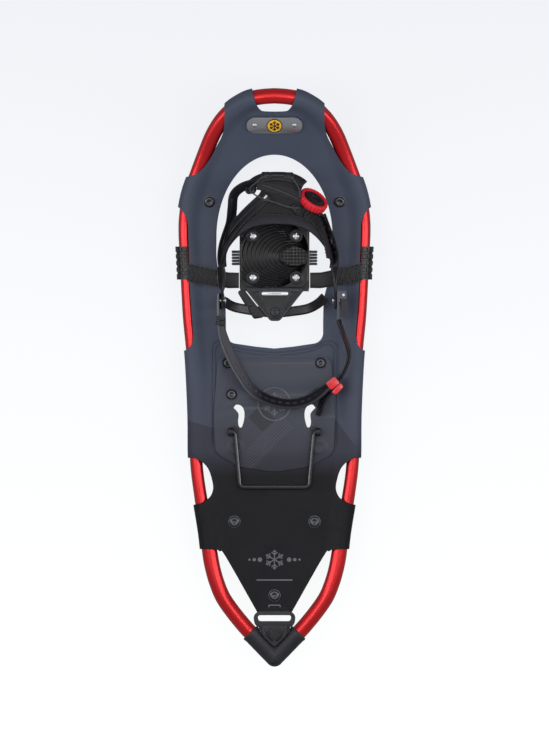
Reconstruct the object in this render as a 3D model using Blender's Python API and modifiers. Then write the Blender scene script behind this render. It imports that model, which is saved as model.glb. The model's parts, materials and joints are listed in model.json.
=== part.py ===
"""Snowshoe, 25 in class: bent tube frame, wrapped sheet deck, pivoting foot binding with a lace dial.

Frame: +X to the wearer's right, +Y towards the toe, +Z up.  The crampon points stand on Z = 0 and the
plan of the shoe is centred on the origin.  All driving dimensions are in millimetres; the helpers
scale them to metres.
"""
import math

import bmesh
import bpy
from mathutils import Matrix, Vector

MM = 0.001

# ---- driving dimensions (mm) ----
TUBE_Z = 36.0            # height of the tube centre above the crampon points
TUBE_R = 8.2             # half height of the oval frame tube
TUBE_WALL = 1.5
BEND_Y = 150.0           # the toe starts to rise here
BEND_R = 222.0           # radius of the rise
SHEET_T = 1.4            # deck sheet thickness
SHEET_H = 4.0            # deck mid-surface above the tube centre, away from the tube
WRAP_R = 9.6             # mid-surface radius of the wrap round the tube
FALL_D = 17.0            # distance over which the sheet drops from the tube top
GAP = 0.3                # clearance between separate pieces
PIVOT_Y = 104.0          # binding pivot axis, along X
PIVOT_Z = 48.6
BAIL_Y = -57.0           # heel lift pivot axis, along X
BAIL_Z = 46.6
STRAP_PIVOT_Y = 82.0     # heel strap pivot axis, along X
STRAP_PIVOT_Z = 66.0
LEVER_X = 73.0           # side buckle lever pivot, along Z
LEVER_Y = 88.0
DIAL_AT = (40.7, 187.7, 80.5)
DIAL_TILT = 60.0         # degrees from vertical
DIAL_HEAD = 56.0         # plan direction of the lean, degrees from +X
PAD_TOP = 55.5
BADGE_Y = 271.5          # plan position of the badge on the toe
BADGE_RISE = 2.5         # the flat badge bridges the hollow of the rising toe

RED = (0.62, 0.035, 0.03)
BLACK = (0.012, 0.012, 0.014)
SLATE = (0.075, 0.085, 0.105)
STEEL = (0.55, 0.56, 0.58)


# ---- scene helpers ----
def clear_scene():
    for obj in list(bpy.data.objects):
        bpy.data.objects.remove(obj, do_unlink=True)


def collection(name):
    col = bpy.data.collections.new(name)
    bpy.context.scene.collection.children.link(col)
    return col


def paint(name, color, rough, metal=0.0):
    mat = bpy.data.materials.get(name)
    if mat is None:
        mat = bpy.data.materials.new(name)
        mat.use_nodes = True
        node = mat.node_tree.nodes["Principled BSDF"]
        node.inputs["Base Color"].default_value = (*color, 1.0)
        node.inputs["Roughness"].default_value = rough
        node.inputs["Metallic"].default_value = metal
        mat.diffuse_color = (*color, 1.0)
    return mat


def add(mesh, name, mat, col, angle=35.0):
    """A named object; round faces smooth, edges over the angle sharp."""
    obj = bpy.data.objects.new(name, mesh)
    col.objects.link(obj)
    mesh.materials.clear()
    mesh.materials.append(mat)
    mesh.shade_smooth()
    mesh.set_sharp_from_angle(angle=math.radians(angle))
    return obj


def mesh_of(verts, faces, name):
    mesh = bpy.data.meshes.new(name)
    mesh.from_pydata([tuple(c * MM for c in v) for v in verts], [], faces)
    mesh.update()
    return mesh


def tidy_mesh(mesh):
    bm = bmesh.new()
    bm.from_mesh(mesh)
    bmesh.ops.remove_doubles(bm, verts=bm.verts, dist=0.00001)
    bmesh.ops.recalc_face_normals(bm, faces=bm.faces)
    bm.to_mesh(mesh)
    bm.free()
    return mesh


def bake_curve(curve, name):
    """The curve as a plain closed mesh."""
    tmp = bpy.data.objects.new(name + "_curve", curve)
    bpy.context.scene.collection.objects.link(tmp)
    bpy.context.view_layer.update()
    deps = bpy.context.evaluated_depsgraph_get()
    mesh = bpy.data.meshes.new_from_object(tmp.evaluated_get(deps))
    bpy.data.objects.remove(tmp, do_unlink=True)
    mesh.name = name
    return tidy_mesh(mesh)


def plate_mesh(outlines, z0, z1, name):
    """Flat plate from plan outlines (the first is the rim, the others are holes)."""
    curve = bpy.data.curves.new(name, "CURVE")
    curve.dimensions = "2D"
    curve.fill_mode = "BOTH"
    curve.extrude = (z1 - z0) / 2 * MM
    curve.render_resolution_u = 0
    for line in outlines:
        spline = curve.splines.new("POLY")
        spline.points.add(len(line) - 1)
        for point, (x, y) in zip(spline.points, line):
            point.co = (x * MM, y * MM, 0.0, 1.0)
        spline.use_cyclic_u = True
    mesh = bake_curve(curve, name)
    mesh.transform(Matrix.Translation((0, 0, (z0 + z1) / 2 * MM)))
    return mesh


def wire_mesh(points, radius, name, res=4, cyclic=False):
    """Round rod along a path of points."""
    curve = bpy.data.curves.new(name, "CURVE")
    curve.dimensions = "3D"
    curve.bevel_depth = radius * MM
    curve.bevel_resolution = res
    curve.render_resolution_u = 0
    curve.use_fill_caps = not cyclic
    curve.twist_mode = "Z_UP"
    spline = curve.splines.new("POLY")
    spline.points.add(len(points) - 1)
    for point, p in zip(spline.points, points):
        point.co = (p[0] * MM, p[1] * MM, p[2] * MM, 1.0)
    spline.use_cyclic_u = cyclic
    return bake_curve(curve, name)


def lathe_mesh(profile, name, steps=12):
    """Solid of revolution about Z from (radius, z) points that start and end on the axis."""
    verts = [(0.0, 0.0, profile[0][1])]
    for r, z in profile[1:-1]:
        for k in range(steps):
            a = 2 * math.pi * k / steps
            verts.append((r * math.cos(a), r * math.sin(a), z))
    verts.append((0.0, 0.0, profile[-1][1]))
    rings = len(profile) - 2
    last = len(verts) - 1
    faces = []
    for k in range(steps):
        n = (k + 1) % steps
        faces.append((0, 1 + k, 1 + n))
        for j in range(rings - 1):
            a = 1 + j * steps
            b = a + steps
            faces.append((a + k, b + k, b + n, a + n))
        a = 1 + (rings - 1) * steps
        faces.append((last, a + n, a + k))
    return tidy_mesh(mesh_of(verts, faces, name))


def ring_mesh(r_in, r_out, z0, z1, name, steps=24, teeth=0.0):
    """Ring about Z; teeth gives a knurl depth on the outside."""
    verts = []
    for z in (z0, z1):
        for k in range(steps):
            a = 2 * math.pi * k / steps
            r = r_out - (teeth if k % 2 else 0.0)
            verts.append((r * math.cos(a), r * math.sin(a), z))
        for k in range(steps):
            a = 2 * math.pi * k / steps
            verts.append((r_in * math.cos(a), r_in * math.sin(a), z))
    faces = []
    for k in range(steps):
        n = (k + 1) % steps
        faces.append((k, n, n + 2 * steps, k + 2 * steps))
        faces.append((steps + n, steps + k, k + 3 * steps, n + 3 * steps))
        faces.append((n, k, k + steps, n + steps))
        faces.append((k + 2 * steps, n + 2 * steps, n + 3 * steps, k + 3 * steps))
    return tidy_mesh(mesh_of(verts, faces, name))


def box_mesh(size, name):
    bm = bmesh.new()
    bmesh.ops.create_cube(bm, size=1.0)
    for v in bm.verts:
        v.co = Vector((v.co.x * size[0] * MM, v.co.y * size[1] * MM, v.co.z * size[2] * MM))
    mesh = bpy.data.meshes.new(name)
    bm.to_mesh(mesh)
    bm.free()
    return mesh


def shell(rows, thickness, name, mat, col):
    """Sheet through rows of points, thickened about its middle."""
    width = len(rows[0])
    verts = [p for row in rows for p in row]
    faces = []
    for j in range(len(rows) - 1):
        for i in range(width - 1):
            a = j * width + i
            faces.append((a, a + 1, a + width + 1, a + width))
    obj = add(mesh_of(verts, faces, name), name, mat, col)
    mod = obj.modifiers.new("thickness", "SOLIDIFY")
    mod.thickness = thickness * MM
    mod.offset = 0.0
    mod.use_even_offset = True
    return obj


def cut(obj, cutter, cutters, operation="DIFFERENCE"):
    """Exact boolean; the cutter object is kept out of the part."""
    cutter.hide_render = True
    cutter.display_type = "WIRE"
    if cutter.name not in cutters.objects:
        cutters.objects.link(cutter)
    mod = obj.modifiers.new(cutter.name, "BOOLEAN")
    mod.operation = operation
    mod.solver = "EXACT"
    mod.object = cutter


def cutter_from(mesh, name, cutters):
    obj = bpy.data.objects.new(name, mesh)
    cutters.objects.link(obj)
    obj.hide_render = True
    obj.display_type = "WIRE"
    return obj


def join_meshes(meshes, name):
    """Several separate closed bodies as one mesh, for a cutter."""
    bm = bmesh.new()
    for mesh in meshes:
        bm.from_mesh(mesh)
    out = bpy.data.meshes.new(name)
    bm.to_mesh(out)
    bm.free()
    return out


def at(obj, x, y, z, rx=0.0, ry=0.0, rz=0.0):
    obj.location = (x * MM, y * MM, z * MM)
    obj.rotation_euler = (math.radians(rx), math.radians(ry), math.radians(rz))
    return obj


def hinge_at(obj, origin):
    """Moves the object's own origin onto its joint axis without moving its shape."""
    shift = Vector([c * MM for c in origin])
    obj.data.transform(Matrix.Translation(-shift))
    obj.location = shift
    return obj


# ---- outline helpers ----
def arc(cx, cy, r, a0, a1, n):
    """Points on an arc, both ends included, degrees."""
    out = []
    for k in range(n + 1):
        a = math.radians(a0 + (a1 - a0) * k / n)
        out.append((cx + r * math.cos(a), cy + r * math.sin(a)))
    return out


def rounded(points, radius, n=4):
    """Closed outline with every corner rounded by an arc (radius a number or one per corner)."""
    out = []
    count = len(points)
    for k in range(count):
        r = radius[k] if isinstance(radius, (list, tuple)) else radius
        p = Vector(points[k])
        a = Vector(points[k - 1]) - p
        b = Vector(points[(k + 1) % count]) - p
        if r <= 0.0:
            out.append((p.x, p.y))
            continue
        half = a.angle(b) / 2
        run = min(r / math.tan(half), a.length * 0.49, b.length * 0.49)
        rad = run * math.tan(half)
        start = p + a.normalized() * run
        end = p + b.normalized() * run
        centre = p + (a.normalized() + b.normalized()).normalized() * (rad / math.sin(half))
        s = start - centre
        turn = s.angle_signed(end - centre)
        for j in range(n + 1):
            q = s.copy()
            q.rotate(Matrix.Rotation(-turn * j / n, 2))
            out.append(tuple(centre + q))
    return out


def spline(points, per=4):
    """Centripetal smooth curve through the points (Catmull-Rom)."""
    pts = [Vector(p) for p in points]
    ends = [pts[0] * 2 - pts[1]] + pts + [pts[-1] * 2 - pts[-2]]
    out = []
    for k in range(1, len(ends) - 2):
        p0, p1, p2, p3 = ends[k - 1], ends[k], ends[k + 1], ends[k + 2]
        for j in range(per):
            t = j / per
            a = p1 * 2 + (p2 - p0) * t
            b = (p0 * 2 - p1 * 5 + p2 * 4 - p3) * t * t
            c = (p1 * 3 - p0 - p2 * 3 + p3) * t * t * t
            out.append((a + b + c) / 2)
    out.append(pts[-1])
    return out


def flip(points):
    return [(-x, y) for x, y in reversed(points)]


# ---- the surface of the shoe ----
def lift(y, h):
    """Height of a point at plan position y, h above the tube plane, on the rising toe."""
    if y <= BEND_Y:
        return TUBE_Z + h
    s = min((y - BEND_Y) / (BEND_R - h), 0.95)
    return TUBE_Z + BEND_R - (BEND_R - h) * math.sqrt(1 - s * s)


def toe_angle(y):
    """Slope of the toe at plan position y, degrees."""
    return math.degrees(math.asin(max(0.0, (y - BEND_Y) / BEND_R)))


def shape_point(y, h):
    """Plan y and z of a point h along the surface normal from the tube plane at plan y."""
    a = math.radians(toe_angle(y))
    return y - h * math.sin(a), lift(y, 0.0) + h * math.cos(a)


# half of the line the deck wraps round, in plan, toe to tail
HALF_LINE = [
    (0.0, 297.0), (14.0, 296.8), (26.0, 295.0), (36.4, 289.9), (45.5, 283.5), (56.0, 272.5), (65.0, 258.0),
    (72.6, 240.0), (81.4, 217.0), (88.6, 197.0), (92.8, 176.0), (93.8, 155.0), (92.1, 121.0), (89.4, 68.0),
    (85.0, 20.0), (82.2, -40.0), (81.6, -88.0), (77.0, -126.0), (71.1, -163.0), (67.6, -194.0),
    (63.6, -221.0), (57.9, -232.0), (48.1, -246.6),
]
TAIL_END = (30.5, -264.5)
TOE_LAST = (92.8, 176.0)  # the spans ahead of this point are halved again


def centre_line():
    """Half centre line with its outward directions, square to the tube and along the toe surface."""
    toe = HALF_LINE.index(TOE_LAST)
    pts = spline(HALF_LINE[:toe + 1], 2)
    pts.extend(Vector(p) for p in HALF_LINE[toe + 1:])
    pts.append(Vector(TAIL_END))
    out = []
    for k, p in enumerate(pts):
        a = pts[max(k - 1, 0)]
        b = pts[min(k + 1, len(pts) - 1)]
        t = (b - a).normalized()
        if k == 0:
            t = Vector((1.0, 0.0))
        slope = math.radians(toe_angle(p.y))
        normal = Vector((-t.y / math.cos(slope), t.x * math.cos(slope), t.x * math.sin(slope)))
        out.append((p, normal.normalized()))
    return out


# half of the tube in plan: centre (x, y) and half width; the tube is rolled narrower along the sides
TUBE_LINE = [
    (0.0, 298.3, 8.2), (13.0, 297.4, 8.2), (26.0, 295.0, 8.2), (36.4, 289.9, 8.2), (45.5, 283.5, 8.2),
    (56.0, 272.5, 8.2), (65.0, 258.0, 8.2), (72.6, 240.0, 8.2), (81.6, 217.1, 7.9), (89.3, 197.1, 7.3),
    (94.1, 176.0, 6.7), (95.3, 155.0, 6.6), (93.6, 121.0, 6.6), (90.9, 68.0, 6.6), (86.5, 20.0, 6.6),
    (83.7, -40.0, 6.6), (83.0, -88.0, 6.6), (78.3, -126.0, 6.8), (72.2, -160.0, 7.4), (68.3, -187.0, 8.2),
    (65.4, -202.3, 8.2), (61.0, -217.5, 8.2), (54.6, -232.7, 8.2), (44.2, -247.9, 8.2), (31.8, -263.1, 8.2),
    (25.0, -270.4, 8.2), (18.8, -276.9, 8.2),
]
TUBE_SIDES = 16


def tube_path():
    """Centre points of the half tube, with its half width."""
    toe = 10
    line = [tuple(p) for p in spline(TUBE_LINE[:toe + 1], 2)] + TUBE_LINE[toe + 1:]
    return [(x, y, lift(y, 0.0), w) for x, y, w in line]


def frame_tube(col):
    """One bent tube from tail to toe to tail, oval in section, open at both ends."""
    half = tube_path()
    path = [(-x, y, z, w) for x, y, z, w in reversed(half)] + half[1:]
    n = TUBE_SIDES
    verts = []
    for k, (x, y, z, w) in enumerate(path):
        a = Vector(path[max(k - 1, 0)][:3])
        b = Vector(path[min(k + 1, len(path) - 1)][:3])
        side = (b - a).cross(Vector((0, 0, 1))).normalized()
        up = side.cross((b - a).normalized())
        for j in range(n):
            turn = 2 * math.pi * j / n
            verts.append(Vector((x, y, z)) + side * (w * math.cos(turn)) + up * (TUBE_R * math.sin(turn)))
    faces = []
    for k in range(len(path) - 1):
        for j in range(n):
            a, b = k * n + j, k * n + (j + 1) % n
            faces.append((a, b, b + n, a + n))
    mesh = tidy_mesh(mesh_of(verts, faces, "frame_tube"))
    obj = add(mesh, "frame_tube", paint("red_anodised", RED, 0.28, 0.85), col)
    mod = obj.modifiers.new("wall", "SOLIDIFY")
    mod.thickness = TUBE_WALL * MM
    mod.offset = -1.0
    return obj


def sheet_height(d):
    """Deck mid-surface above the tube plane, d inward from the tube centre."""
    if d >= FALL_D:
        return SHEET_H
    top = WRAP_R - 0.1 - SHEET_H
    return SHEET_H + top * (0.5 + 0.5 * math.cos(math.pi * d / FALL_D))


def flap_height(d):
    """Flap mid-surface under the sheet."""
    low = -WRAP_R
    high = SHEET_H - SHEET_T - 0.5
    if d >= 26.0:
        return high
    return low + (high - low) * (0.5 - 0.5 * math.cos(math.pi * d / 26.0))


def deck_rows():
    """Half of the deck: from the spine over the tube, round it and back as a flap underneath."""
    rows = []
    for p, out in centre_line()[:-1]:
        spine = p.y if p.y < BEND_Y else BEND_Y + (p.y - BEND_Y) * 0.5
        if p.y < -235.0:
            spine = p.y - 0.8 * (-235.0 - p.y)
        inner = Vector((0.0, spine))
        inward = (inner - p).normalized()
        side = Vector((out.x, out.y))
        flap = 30.0 if 150.0 < p.y < 240.0 else 42.0
        slope = math.radians(toe_angle(p.y))
        up = Vector((0.0, -math.sin(slope), math.cos(slope)))
        centre = Vector((p.x, p.y, lift(p.y, 0.0)))
        row = []
        for d in ((inner - p).length, 30.0):
            q = p + inward * d
            y, z = shape_point(q.y, sheet_height(d))
            row.append((q.x, y, z))
        for d in (17.0, 9.0, 3.0):
            q = p - side * d
            y, z = shape_point(q.y, sheet_height(d))
            row.append((q.x, y, z))
        for k in range(6):
            a = math.radians(90.0 - 36.0 * k)
            row.append(tuple(centre + out * (WRAP_R * math.cos(a)) + up * (WRAP_R * math.sin(a))))
        for d in (8.0, 17.0, 26.0, flap):
            q = p - side * d
            y, z = shape_point(q.y, flap_height(d))
            row.append((q.x, y, z))
        rows.append(row)
    return rows


# plan openings of the deck, left side (mirrored for the right)
SIDE_WINDOW = [(-53, 325), (-53, 270), (-54.5, 258), (-59, 245), (-66.5, 231.5), (-78.5, 218.5), (-90, 214),
               (-118, 209), (-118, 325)]
RECESS = [(-118, 184), (-103, 182.5), (-97, 176), (-92, 166), (-91, 146), (-89.5, 95), (-87, 60), (-86, 44),
          (-88, 35), (-94, 29), (-118, 28)]
LOWER_WINDOW = [(-118, -84.5), (-90, -84.5), (-80.5, -86.5), (-71, -95), (-66, -111), (-65, -120),
                (-72, -129.5), (-85, -134.5), (-118, -135)]
TAIL_WINDOW = [(-118, -181.5), (-64, -181.5), (-52, -189), (-18.5, -249), (-12, -249.5), (0, -249.5), (0, -300),
               (-118, -300)]
OPEN_HALF_W = 61.5
OPEN_TOP = 86.5
HEEL_SLOT = [(-43.5, -29), (-36, -29), (-33, -33), (-32, -49), (-37, -50), (-38.5, -37), (-43.5, -35)]

FRONT_RIVETS = [(-69.0, 187.0), (69.0, 187.0)]
HEEL_RIVETS = [(-49.0, 16.0), (49.0, 16.0), (-45.5, -17.5), (45.5, -17.5)]
TAIL_RIVETS = [(-42.5, -152.3), (42.5, -152.3)]
TAIL_TIP_RIVET = (0.0, -230.5)


def opening_outline():
    """Egg-shaped opening for the foot: half ellipse in front, tapering to a rounded rear edge."""
    out = []
    for k in range(25):
        a = math.pi * k / 24
        out.append((OPEN_HALF_W * math.cos(a), BEND_Y + OPEN_TOP * math.sin(a)))
    out.append((-OPEN_HALF_W, 126.0))
    out.append((-58.0, 106.0))
    out.append((-51.5, 84.0))
    out.extend(arc(-40.0, 48.0, 11.5, 180, 255, 4))
    out.append((0.0, 31.5))
    out.extend(reversed([(-x, y) for x, y in arc(-40.0, 48.0, 11.5, 180, 255, 4)]))
    out.append((51.5, 84.0))
    out.append((58.0, 106.0))
    out.append((OPEN_HALF_W, 126.0))
    return out


def deck(col, cutters):
    obj = shell(deck_rows(), SHEET_T, "deck", paint("deck_sheet", SLATE, 0.55), col)
    obj.modifiers.clear()
    mirror = obj.modifiers.new("mirror", "MIRROR")
    mirror.use_clip = True
    mirror.merge_threshold = 0.0001
    solid = obj.modifiers.new("thickness", "SOLIDIFY")
    solid.thickness = SHEET_T * MM
    solid.offset = 0.0
    sides = []
    for k, line in enumerate((SIDE_WINDOW, RECESS, LOWER_WINDOW, TAIL_WINDOW, HEEL_SLOT)):
        sides.append(plate_mesh([line], 5.0, 140.0, "cut_l%d" % k))
        sides.append(plate_mesh([flip(line)], 5.0, 140.0, "cut_r%d" % k))
    notch = [(-24, 330), (-22, 300), (-19, 289), (-13, 282.3), (13, 282.3), (19, 289), (22, 300), (24, 330)]
    sides.append(plate_mesh([notch], 5.0, 150.0, "cut_notch"))
    sides.append(plate_mesh([opening_outline()], 5.0, 140.0, "cut_opening"))
    bare = [(-118, 40), (-30, 40), (-30, 172), (-118, 172)]
    under = TUBE_Z + SHEET_H - SHEET_T / 2 - 0.25
    sides.append(plate_mesh([bare], 5.0, under, "cut_flap_l"))
    sides.append(plate_mesh([flip(bare)], 5.0, under, "cut_flap_r"))
    for k, mesh in enumerate(sides):
        cut(obj, cutter_from(mesh, "deck_cut_%02d" % k, cutters), cutters)
    for k, (x, y) in enumerate(FRONT_RIVETS + HEEL_RIVETS + TAIL_RIVETS + [TAIL_TIP_RIVET]):
        hole = plate_mesh([arc(x, y, 2.6, 0, 330, 11)], 20.0, 60.0, "cut_hole%d" % k)
        cut(obj, cutter_from(hole, "deck_hole_%02d" % k, cutters), cutters)
    slope = toe_angle(BADGE_Y)
    py, pz = shape_point(BADGE_Y, SHEET_H)
    for k, x in enumerate((-21.0, 21.0)):
        mesh = plate_mesh([arc(x, 0.0, 1.6, 0, 330, 11)], -9.0, 9.0, "cut_badge%d" % k)
        hole = cutter_from(mesh, "deck_badge_hole_%d" % k, cutters)
        at(hole, 0.0, py, pz, slope)
        cut(obj, hole, cutters)
    return obj


def tail_cap(col, cutters):
    """Moulded V that joins the two tube ends, with a boss for the tail ring."""
    tip = (0.0, -296.5, TUBE_Z)
    ball = [(10.2 * math.sin(math.pi * k / 8), -10.2 * math.cos(math.pi * k / 8)) for k in range(9)]
    mesh = lathe_mesh(ball, "tail_cap", 16)
    mesh.transform(Matrix.Translation((0.0, tip[1] * MM, TUBE_Z * MM)))
    obj = add(mesh, "tail_cap", paint("cap_plastic", BLACK, 0.5), col)
    line = [Vector(p[:3]) for p in tube_path()][-4:]
    end = line[-1] + (line[-1] - line[-2]).normalized() * 0.8
    for k, s in enumerate((-1, 1)):
        arm = wire_mesh([(s * 25.3, -270.3, TUBE_Z), tip], 9.6, "cap_arm", 4)
        cut(obj, cutter_from(arm, "cap_arm_%d" % k, cutters), cutters, "UNION")
    boss = [(-17.0, -262.5), (17.0, -262.5), (15.0, -272.0), (3.0, -288.0), (-3.0, -288.0), (-15.0, -272.0)]
    block = plate_mesh([boss], TUBE_Z - 3.0, TUBE_Z + 4.9, "cap_boss")
    cut(obj, cutter_from(block, "cap_boss", cutters), cutters, "UNION")
    for k, s in enumerate((-1, 1)):
        pts = [(s * p.x, p.y, p.z) for p in line + [end]]
        socket = wire_mesh(pts, TUBE_R + 0.7, "socket", 3)
        cut(obj, cutter_from(socket, "cap_socket_%d" % k, cutters), cutters)
    return obj


def rivet(name, x, y, z_top, z_bottom, col, head=5.4, shank=2.2, mat=None):
    """Domed rivet: head on z_top, closed end below z_bottom."""
    profile = [(0, z_top + 2.0), (head * 0.75, z_top + 1.8), (head, z_top + 0.5), (head, z_top),
               (shank, z_top), (shank, z_bottom), (head * 0.75, z_bottom), (head * 0.75, z_bottom - 1.5),
               (0, z_bottom - 1.5)]
    obj = add(lathe_mesh(profile, name, 10), name, mat or paint("rivet_black", (0.03, 0.03, 0.035), 0.4, 0.6), col)
    return at(obj, x, y, 0.0)


def deck_rivets(col):
    sheet_top = TUBE_Z + SHEET_H + SHEET_T / 2 + GAP
    for side, (x, y) in zip(("left", "right"), FRONT_RIVETS):
        z, drop = lift(y, SHEET_H) + SHEET_T / 2 + GAP + 1.1, 33.4 + lift(y, 0.0) - TUBE_Z
        rivet("deck_rivet_front_" + side, x, y, z, drop, col)
    names = ("heel_rivet_front_left", "heel_rivet_front_right", "heel_rivet_rear_left", "heel_rivet_rear_right")
    for name, (x, y) in zip(names, HEEL_RIVETS):
        rivet(name, x, y, sheet_top, 33.9, col)
    for side, (x, y) in zip(("left", "right"), TAIL_RIVETS):
        rivet("deck_rivet_tail_" + side, x, y, sheet_top, 36.8, col)
    rivet("deck_rivet_tip", TAIL_TIP_RIVET[0], TAIL_TIP_RIVET[1], sheet_top, 38.9, col)


def heel_plate(col, cutters):
    """Ribbed wear plate under the heel, with two slots and rivet holes."""
    rim = [(-60, 24), (60, 24), (64.3, -40), (62.5, -80), (36, -94), (0, -99.5), (-36, -94), (-62.5, -80),
           (-64.3, -40)]
    rim = rounded(rim, [10, 10, 60, 12, 40, 60, 40, 12, 60], 3)
    z0 = TUBE_Z + SHEET_H + SHEET_T / 2 + GAP
    holes = [arc(x, y, 5.9, 0, 330, 11) for x, y in HEEL_RIVETS]
    mesh = plate_mesh([rim, HEEL_SLOT, flip(HEEL_SLOT)] + holes, z0, z0 + 2.5, "heel_plate")
    return add(mesh, "heel_plate", paint("heel_pad", (0.05, 0.052, 0.06), 0.6), col)


def teeth_cut(name, count, pitch, depth, span, cutters):
    """Saw-tooth block along X: removes the notches between the points of a flange on Z = 0."""
    pts = []
    start = -pitch * count / 2
    for k in range(count):
        x = start + k * pitch
        pts.append((x + 2.0, 0.0))
        pts.append((x + pitch / 2, depth))
        pts.append((x + pitch - 2.0, 0.0))
    pts.append((-start, -5.0))
    pts.append((start, -5.0))
    mesh = plate_mesh([[(x, y) for x, y in pts]], -span / 2, span / 2, name)
    return mesh


def channel(name, length, half, z_plate, thick, col, mat):
    """Inverted U along Y: flat top and two flanges down to the ground."""
    outer = [(-half, 0.0), (-half, z_plate), (half, z_plate), (half, 0.0), (half - thick, 0.0),
             (half - thick, z_plate - thick), (-half + thick, z_plate - thick), (-half + thick, 0.0)]
    mesh = plate_mesh([outer], -length / 2, length / 2, name)
    mesh.transform(Matrix.Rotation(math.radians(90), 4, "X"))
    return add(mesh, name, mat, col)


def toe_crampon(col, cutters):
    """Steel claw under the ball of the foot, turning with the binding."""
    mat = paint("crampon_steel", (0.18, 0.185, 0.19), 0.35, 0.9)
    obj = channel("toe_crampon", 75.0, 36.5, 47.2, 2.6, col, mat)
    obj.data.transform(Matrix.Translation((0, 129.5 * MM, 0)))
    lug = [(-45.0, 119.5), (45.0, 119.5), (45.0, 135.5), (-45.0, 135.5)]
    cut(obj, cutter_from(plate_mesh([lug], 45.0, 46.8, "toe_lugs"), "toe_lugs", cutters), cutters, "UNION")
    saw = teeth_cut("toe_teeth", 3, 26.0, 26.0, 120.0, cutters)
    saw.transform(Matrix.Rotation(math.radians(90), 4, "X"))
    saw.transform(Matrix.Rotation(math.radians(90), 4, "Z"))
    saw.transform(Matrix.Translation((0, 129.5 * MM, 0)))
    cut(obj, cutter_from(saw, "toe_teeth", cutters), cutters)
    for k, (x, y) in enumerate(PAD_SCREWS):
        hole = plate_mesh([arc(x, y, 2.3, 0, 330, 11)], 40.0, 60.0, "crampon_hole")
        cut(obj, cutter_from(hole, "crampon_hole_%d" % k, cutters), cutters)
    return obj


def heel_crampon(col, cutters):
    """Steel claw riveted under the deck below the heel."""
    mat = paint("crampon_steel", (0.18, 0.185, 0.19), 0.35, 0.9)
    obj = channel("heel_crampon", 48.0, 56.0, 37.1, 2.5, col, mat)
    saw = teeth_cut("heel_teeth", 2, 22.0, 20.0, 140.0, cutters)
    saw.transform(Matrix.Rotation(math.radians(90), 4, "X"))
    saw.transform(Matrix.Rotation(math.radians(90), 4, "Z"))
    cut(obj, cutter_from(saw, "heel_teeth", cutters), cutters)
    for k, (x, y) in enumerate(HEEL_RIVETS):
        hole = plate_mesh([arc(x, y, 2.6, 0, 330, 11)], 30.0, 60.0, "heel_hole")
        cut(obj, cutter_from(hole, "heel_hole_%d" % k, cutters), cutters)
    return obj


def toe_badge(col, cutters):
    """Plain round-ended plate on the toe, riveted through the sheet."""
    rim = rounded([(-29.0, -9.5), (29.0, -9.5), (29.0, 9.5), (-29.0, 9.5)], 9.0, 5)
    holes = [arc(x, 0.0, 1.5, 0, 330, 11) for x in (-21.0, 21.0)]
    obj = add(plate_mesh([rim] + holes, 0.0, 1.4, "toe_badge"), "toe_badge", paint("badge_silver", STEEL, 0.3, 0.9),
              col)
    py, pz = shape_point(BADGE_Y, SHEET_H + SHEET_T / 2 + BADGE_RISE)
    return at(obj, 0.0, py, pz, toe_angle(BADGE_Y))


def badge_rivets(col):
    """Small dome rivets of the toe plate."""
    slope = toe_angle(BADGE_Y)
    py, pz = shape_point(BADGE_Y, SHEET_H + SHEET_T / 2 + BADGE_RISE + 1.4 + GAP)
    for side, sx in (("left", -1), ("right", 1)):
        name = "badge_rivet_" + side
        profile = [(0, 1.0), (1.8, 0.7), (2.4, 0.0), (1.1, 0.0), (1.1, -7.0), (0, -7.0)]
        obj = add(lathe_mesh(profile, name, 10), name, paint("badge_silver", STEEL, 0.3, 0.9), col)
        at(obj, sx * 21.0, py, pz, slope)


def heel_lift(col):
    """Wire bail that swings up under the heel."""
    x0, x1, y1 = 41.5, 37.5, -115.4
    corner = arc(-x1 + 4.0, y1 + 4.0, 4.0, 180, 270, 3)
    left = [(-x0 - 8.0, BAIL_Y), (-x0 - 1.0, BAIL_Y), (-x0 + 0.4, BAIL_Y - 2.0)] + corner
    line = left + [(-x, y) for x, y in reversed(left)]
    mesh = wire_mesh([(x, y, BAIL_Z) for x, y in line], 2.25, "heel_lift_bail", 2)
    obj = add(mesh, "heel_lift_bail", paint("bail_wire", (0.02, 0.02, 0.022), 0.35, 0.5), col)
    return hinge_at(obj, (0.0, BAIL_Y, BAIL_Z))


def bail_clip(side, sx, col, cutters):
    """Moulded bearing block for one end of the bail."""
    name = "bail_clip_" + side
    z0 = TUBE_Z + SHEET_H + SHEET_T / 2 + GAP + 2.5 + GAP
    profile = rounded([(-6, z0), (6, z0), (6, z0 + 6.6), (-6, z0 + 6.6)], [0, 0, 3, 3], 3)
    bore = arc(0.0, BAIL_Z, 2.6, 0, 330, 11)
    mesh = plate_mesh([profile, bore], -3.0, 3.0, name)
    mesh.transform(Matrix.Rotation(math.radians(90), 4, "X"))
    mesh.transform(Matrix.Rotation(math.radians(90), 4, "Z"))
    obj = add(mesh, name, paint("clip_plastic", BLACK, 0.5), col)
    return at(obj, sx * 46.5, BAIL_Y, 0.0)


def tail_link(col):
    """Oval ring between the tail of the deck and the cap."""
    rim = rounded([(-23, -247.2), (23, -247.2), (17, -264.2), (-17, -264.2)], 6, 4)
    hole = rounded([(-18, -251.6), (18, -251.6), (15, -258), (-15, -258)], 3, 3)
    mesh = plate_mesh([rim, hole], 41.2, 44.4, "tail_link")
    return add(mesh, "tail_link", paint("link_plastic", BLACK, 0.45), col)


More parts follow.
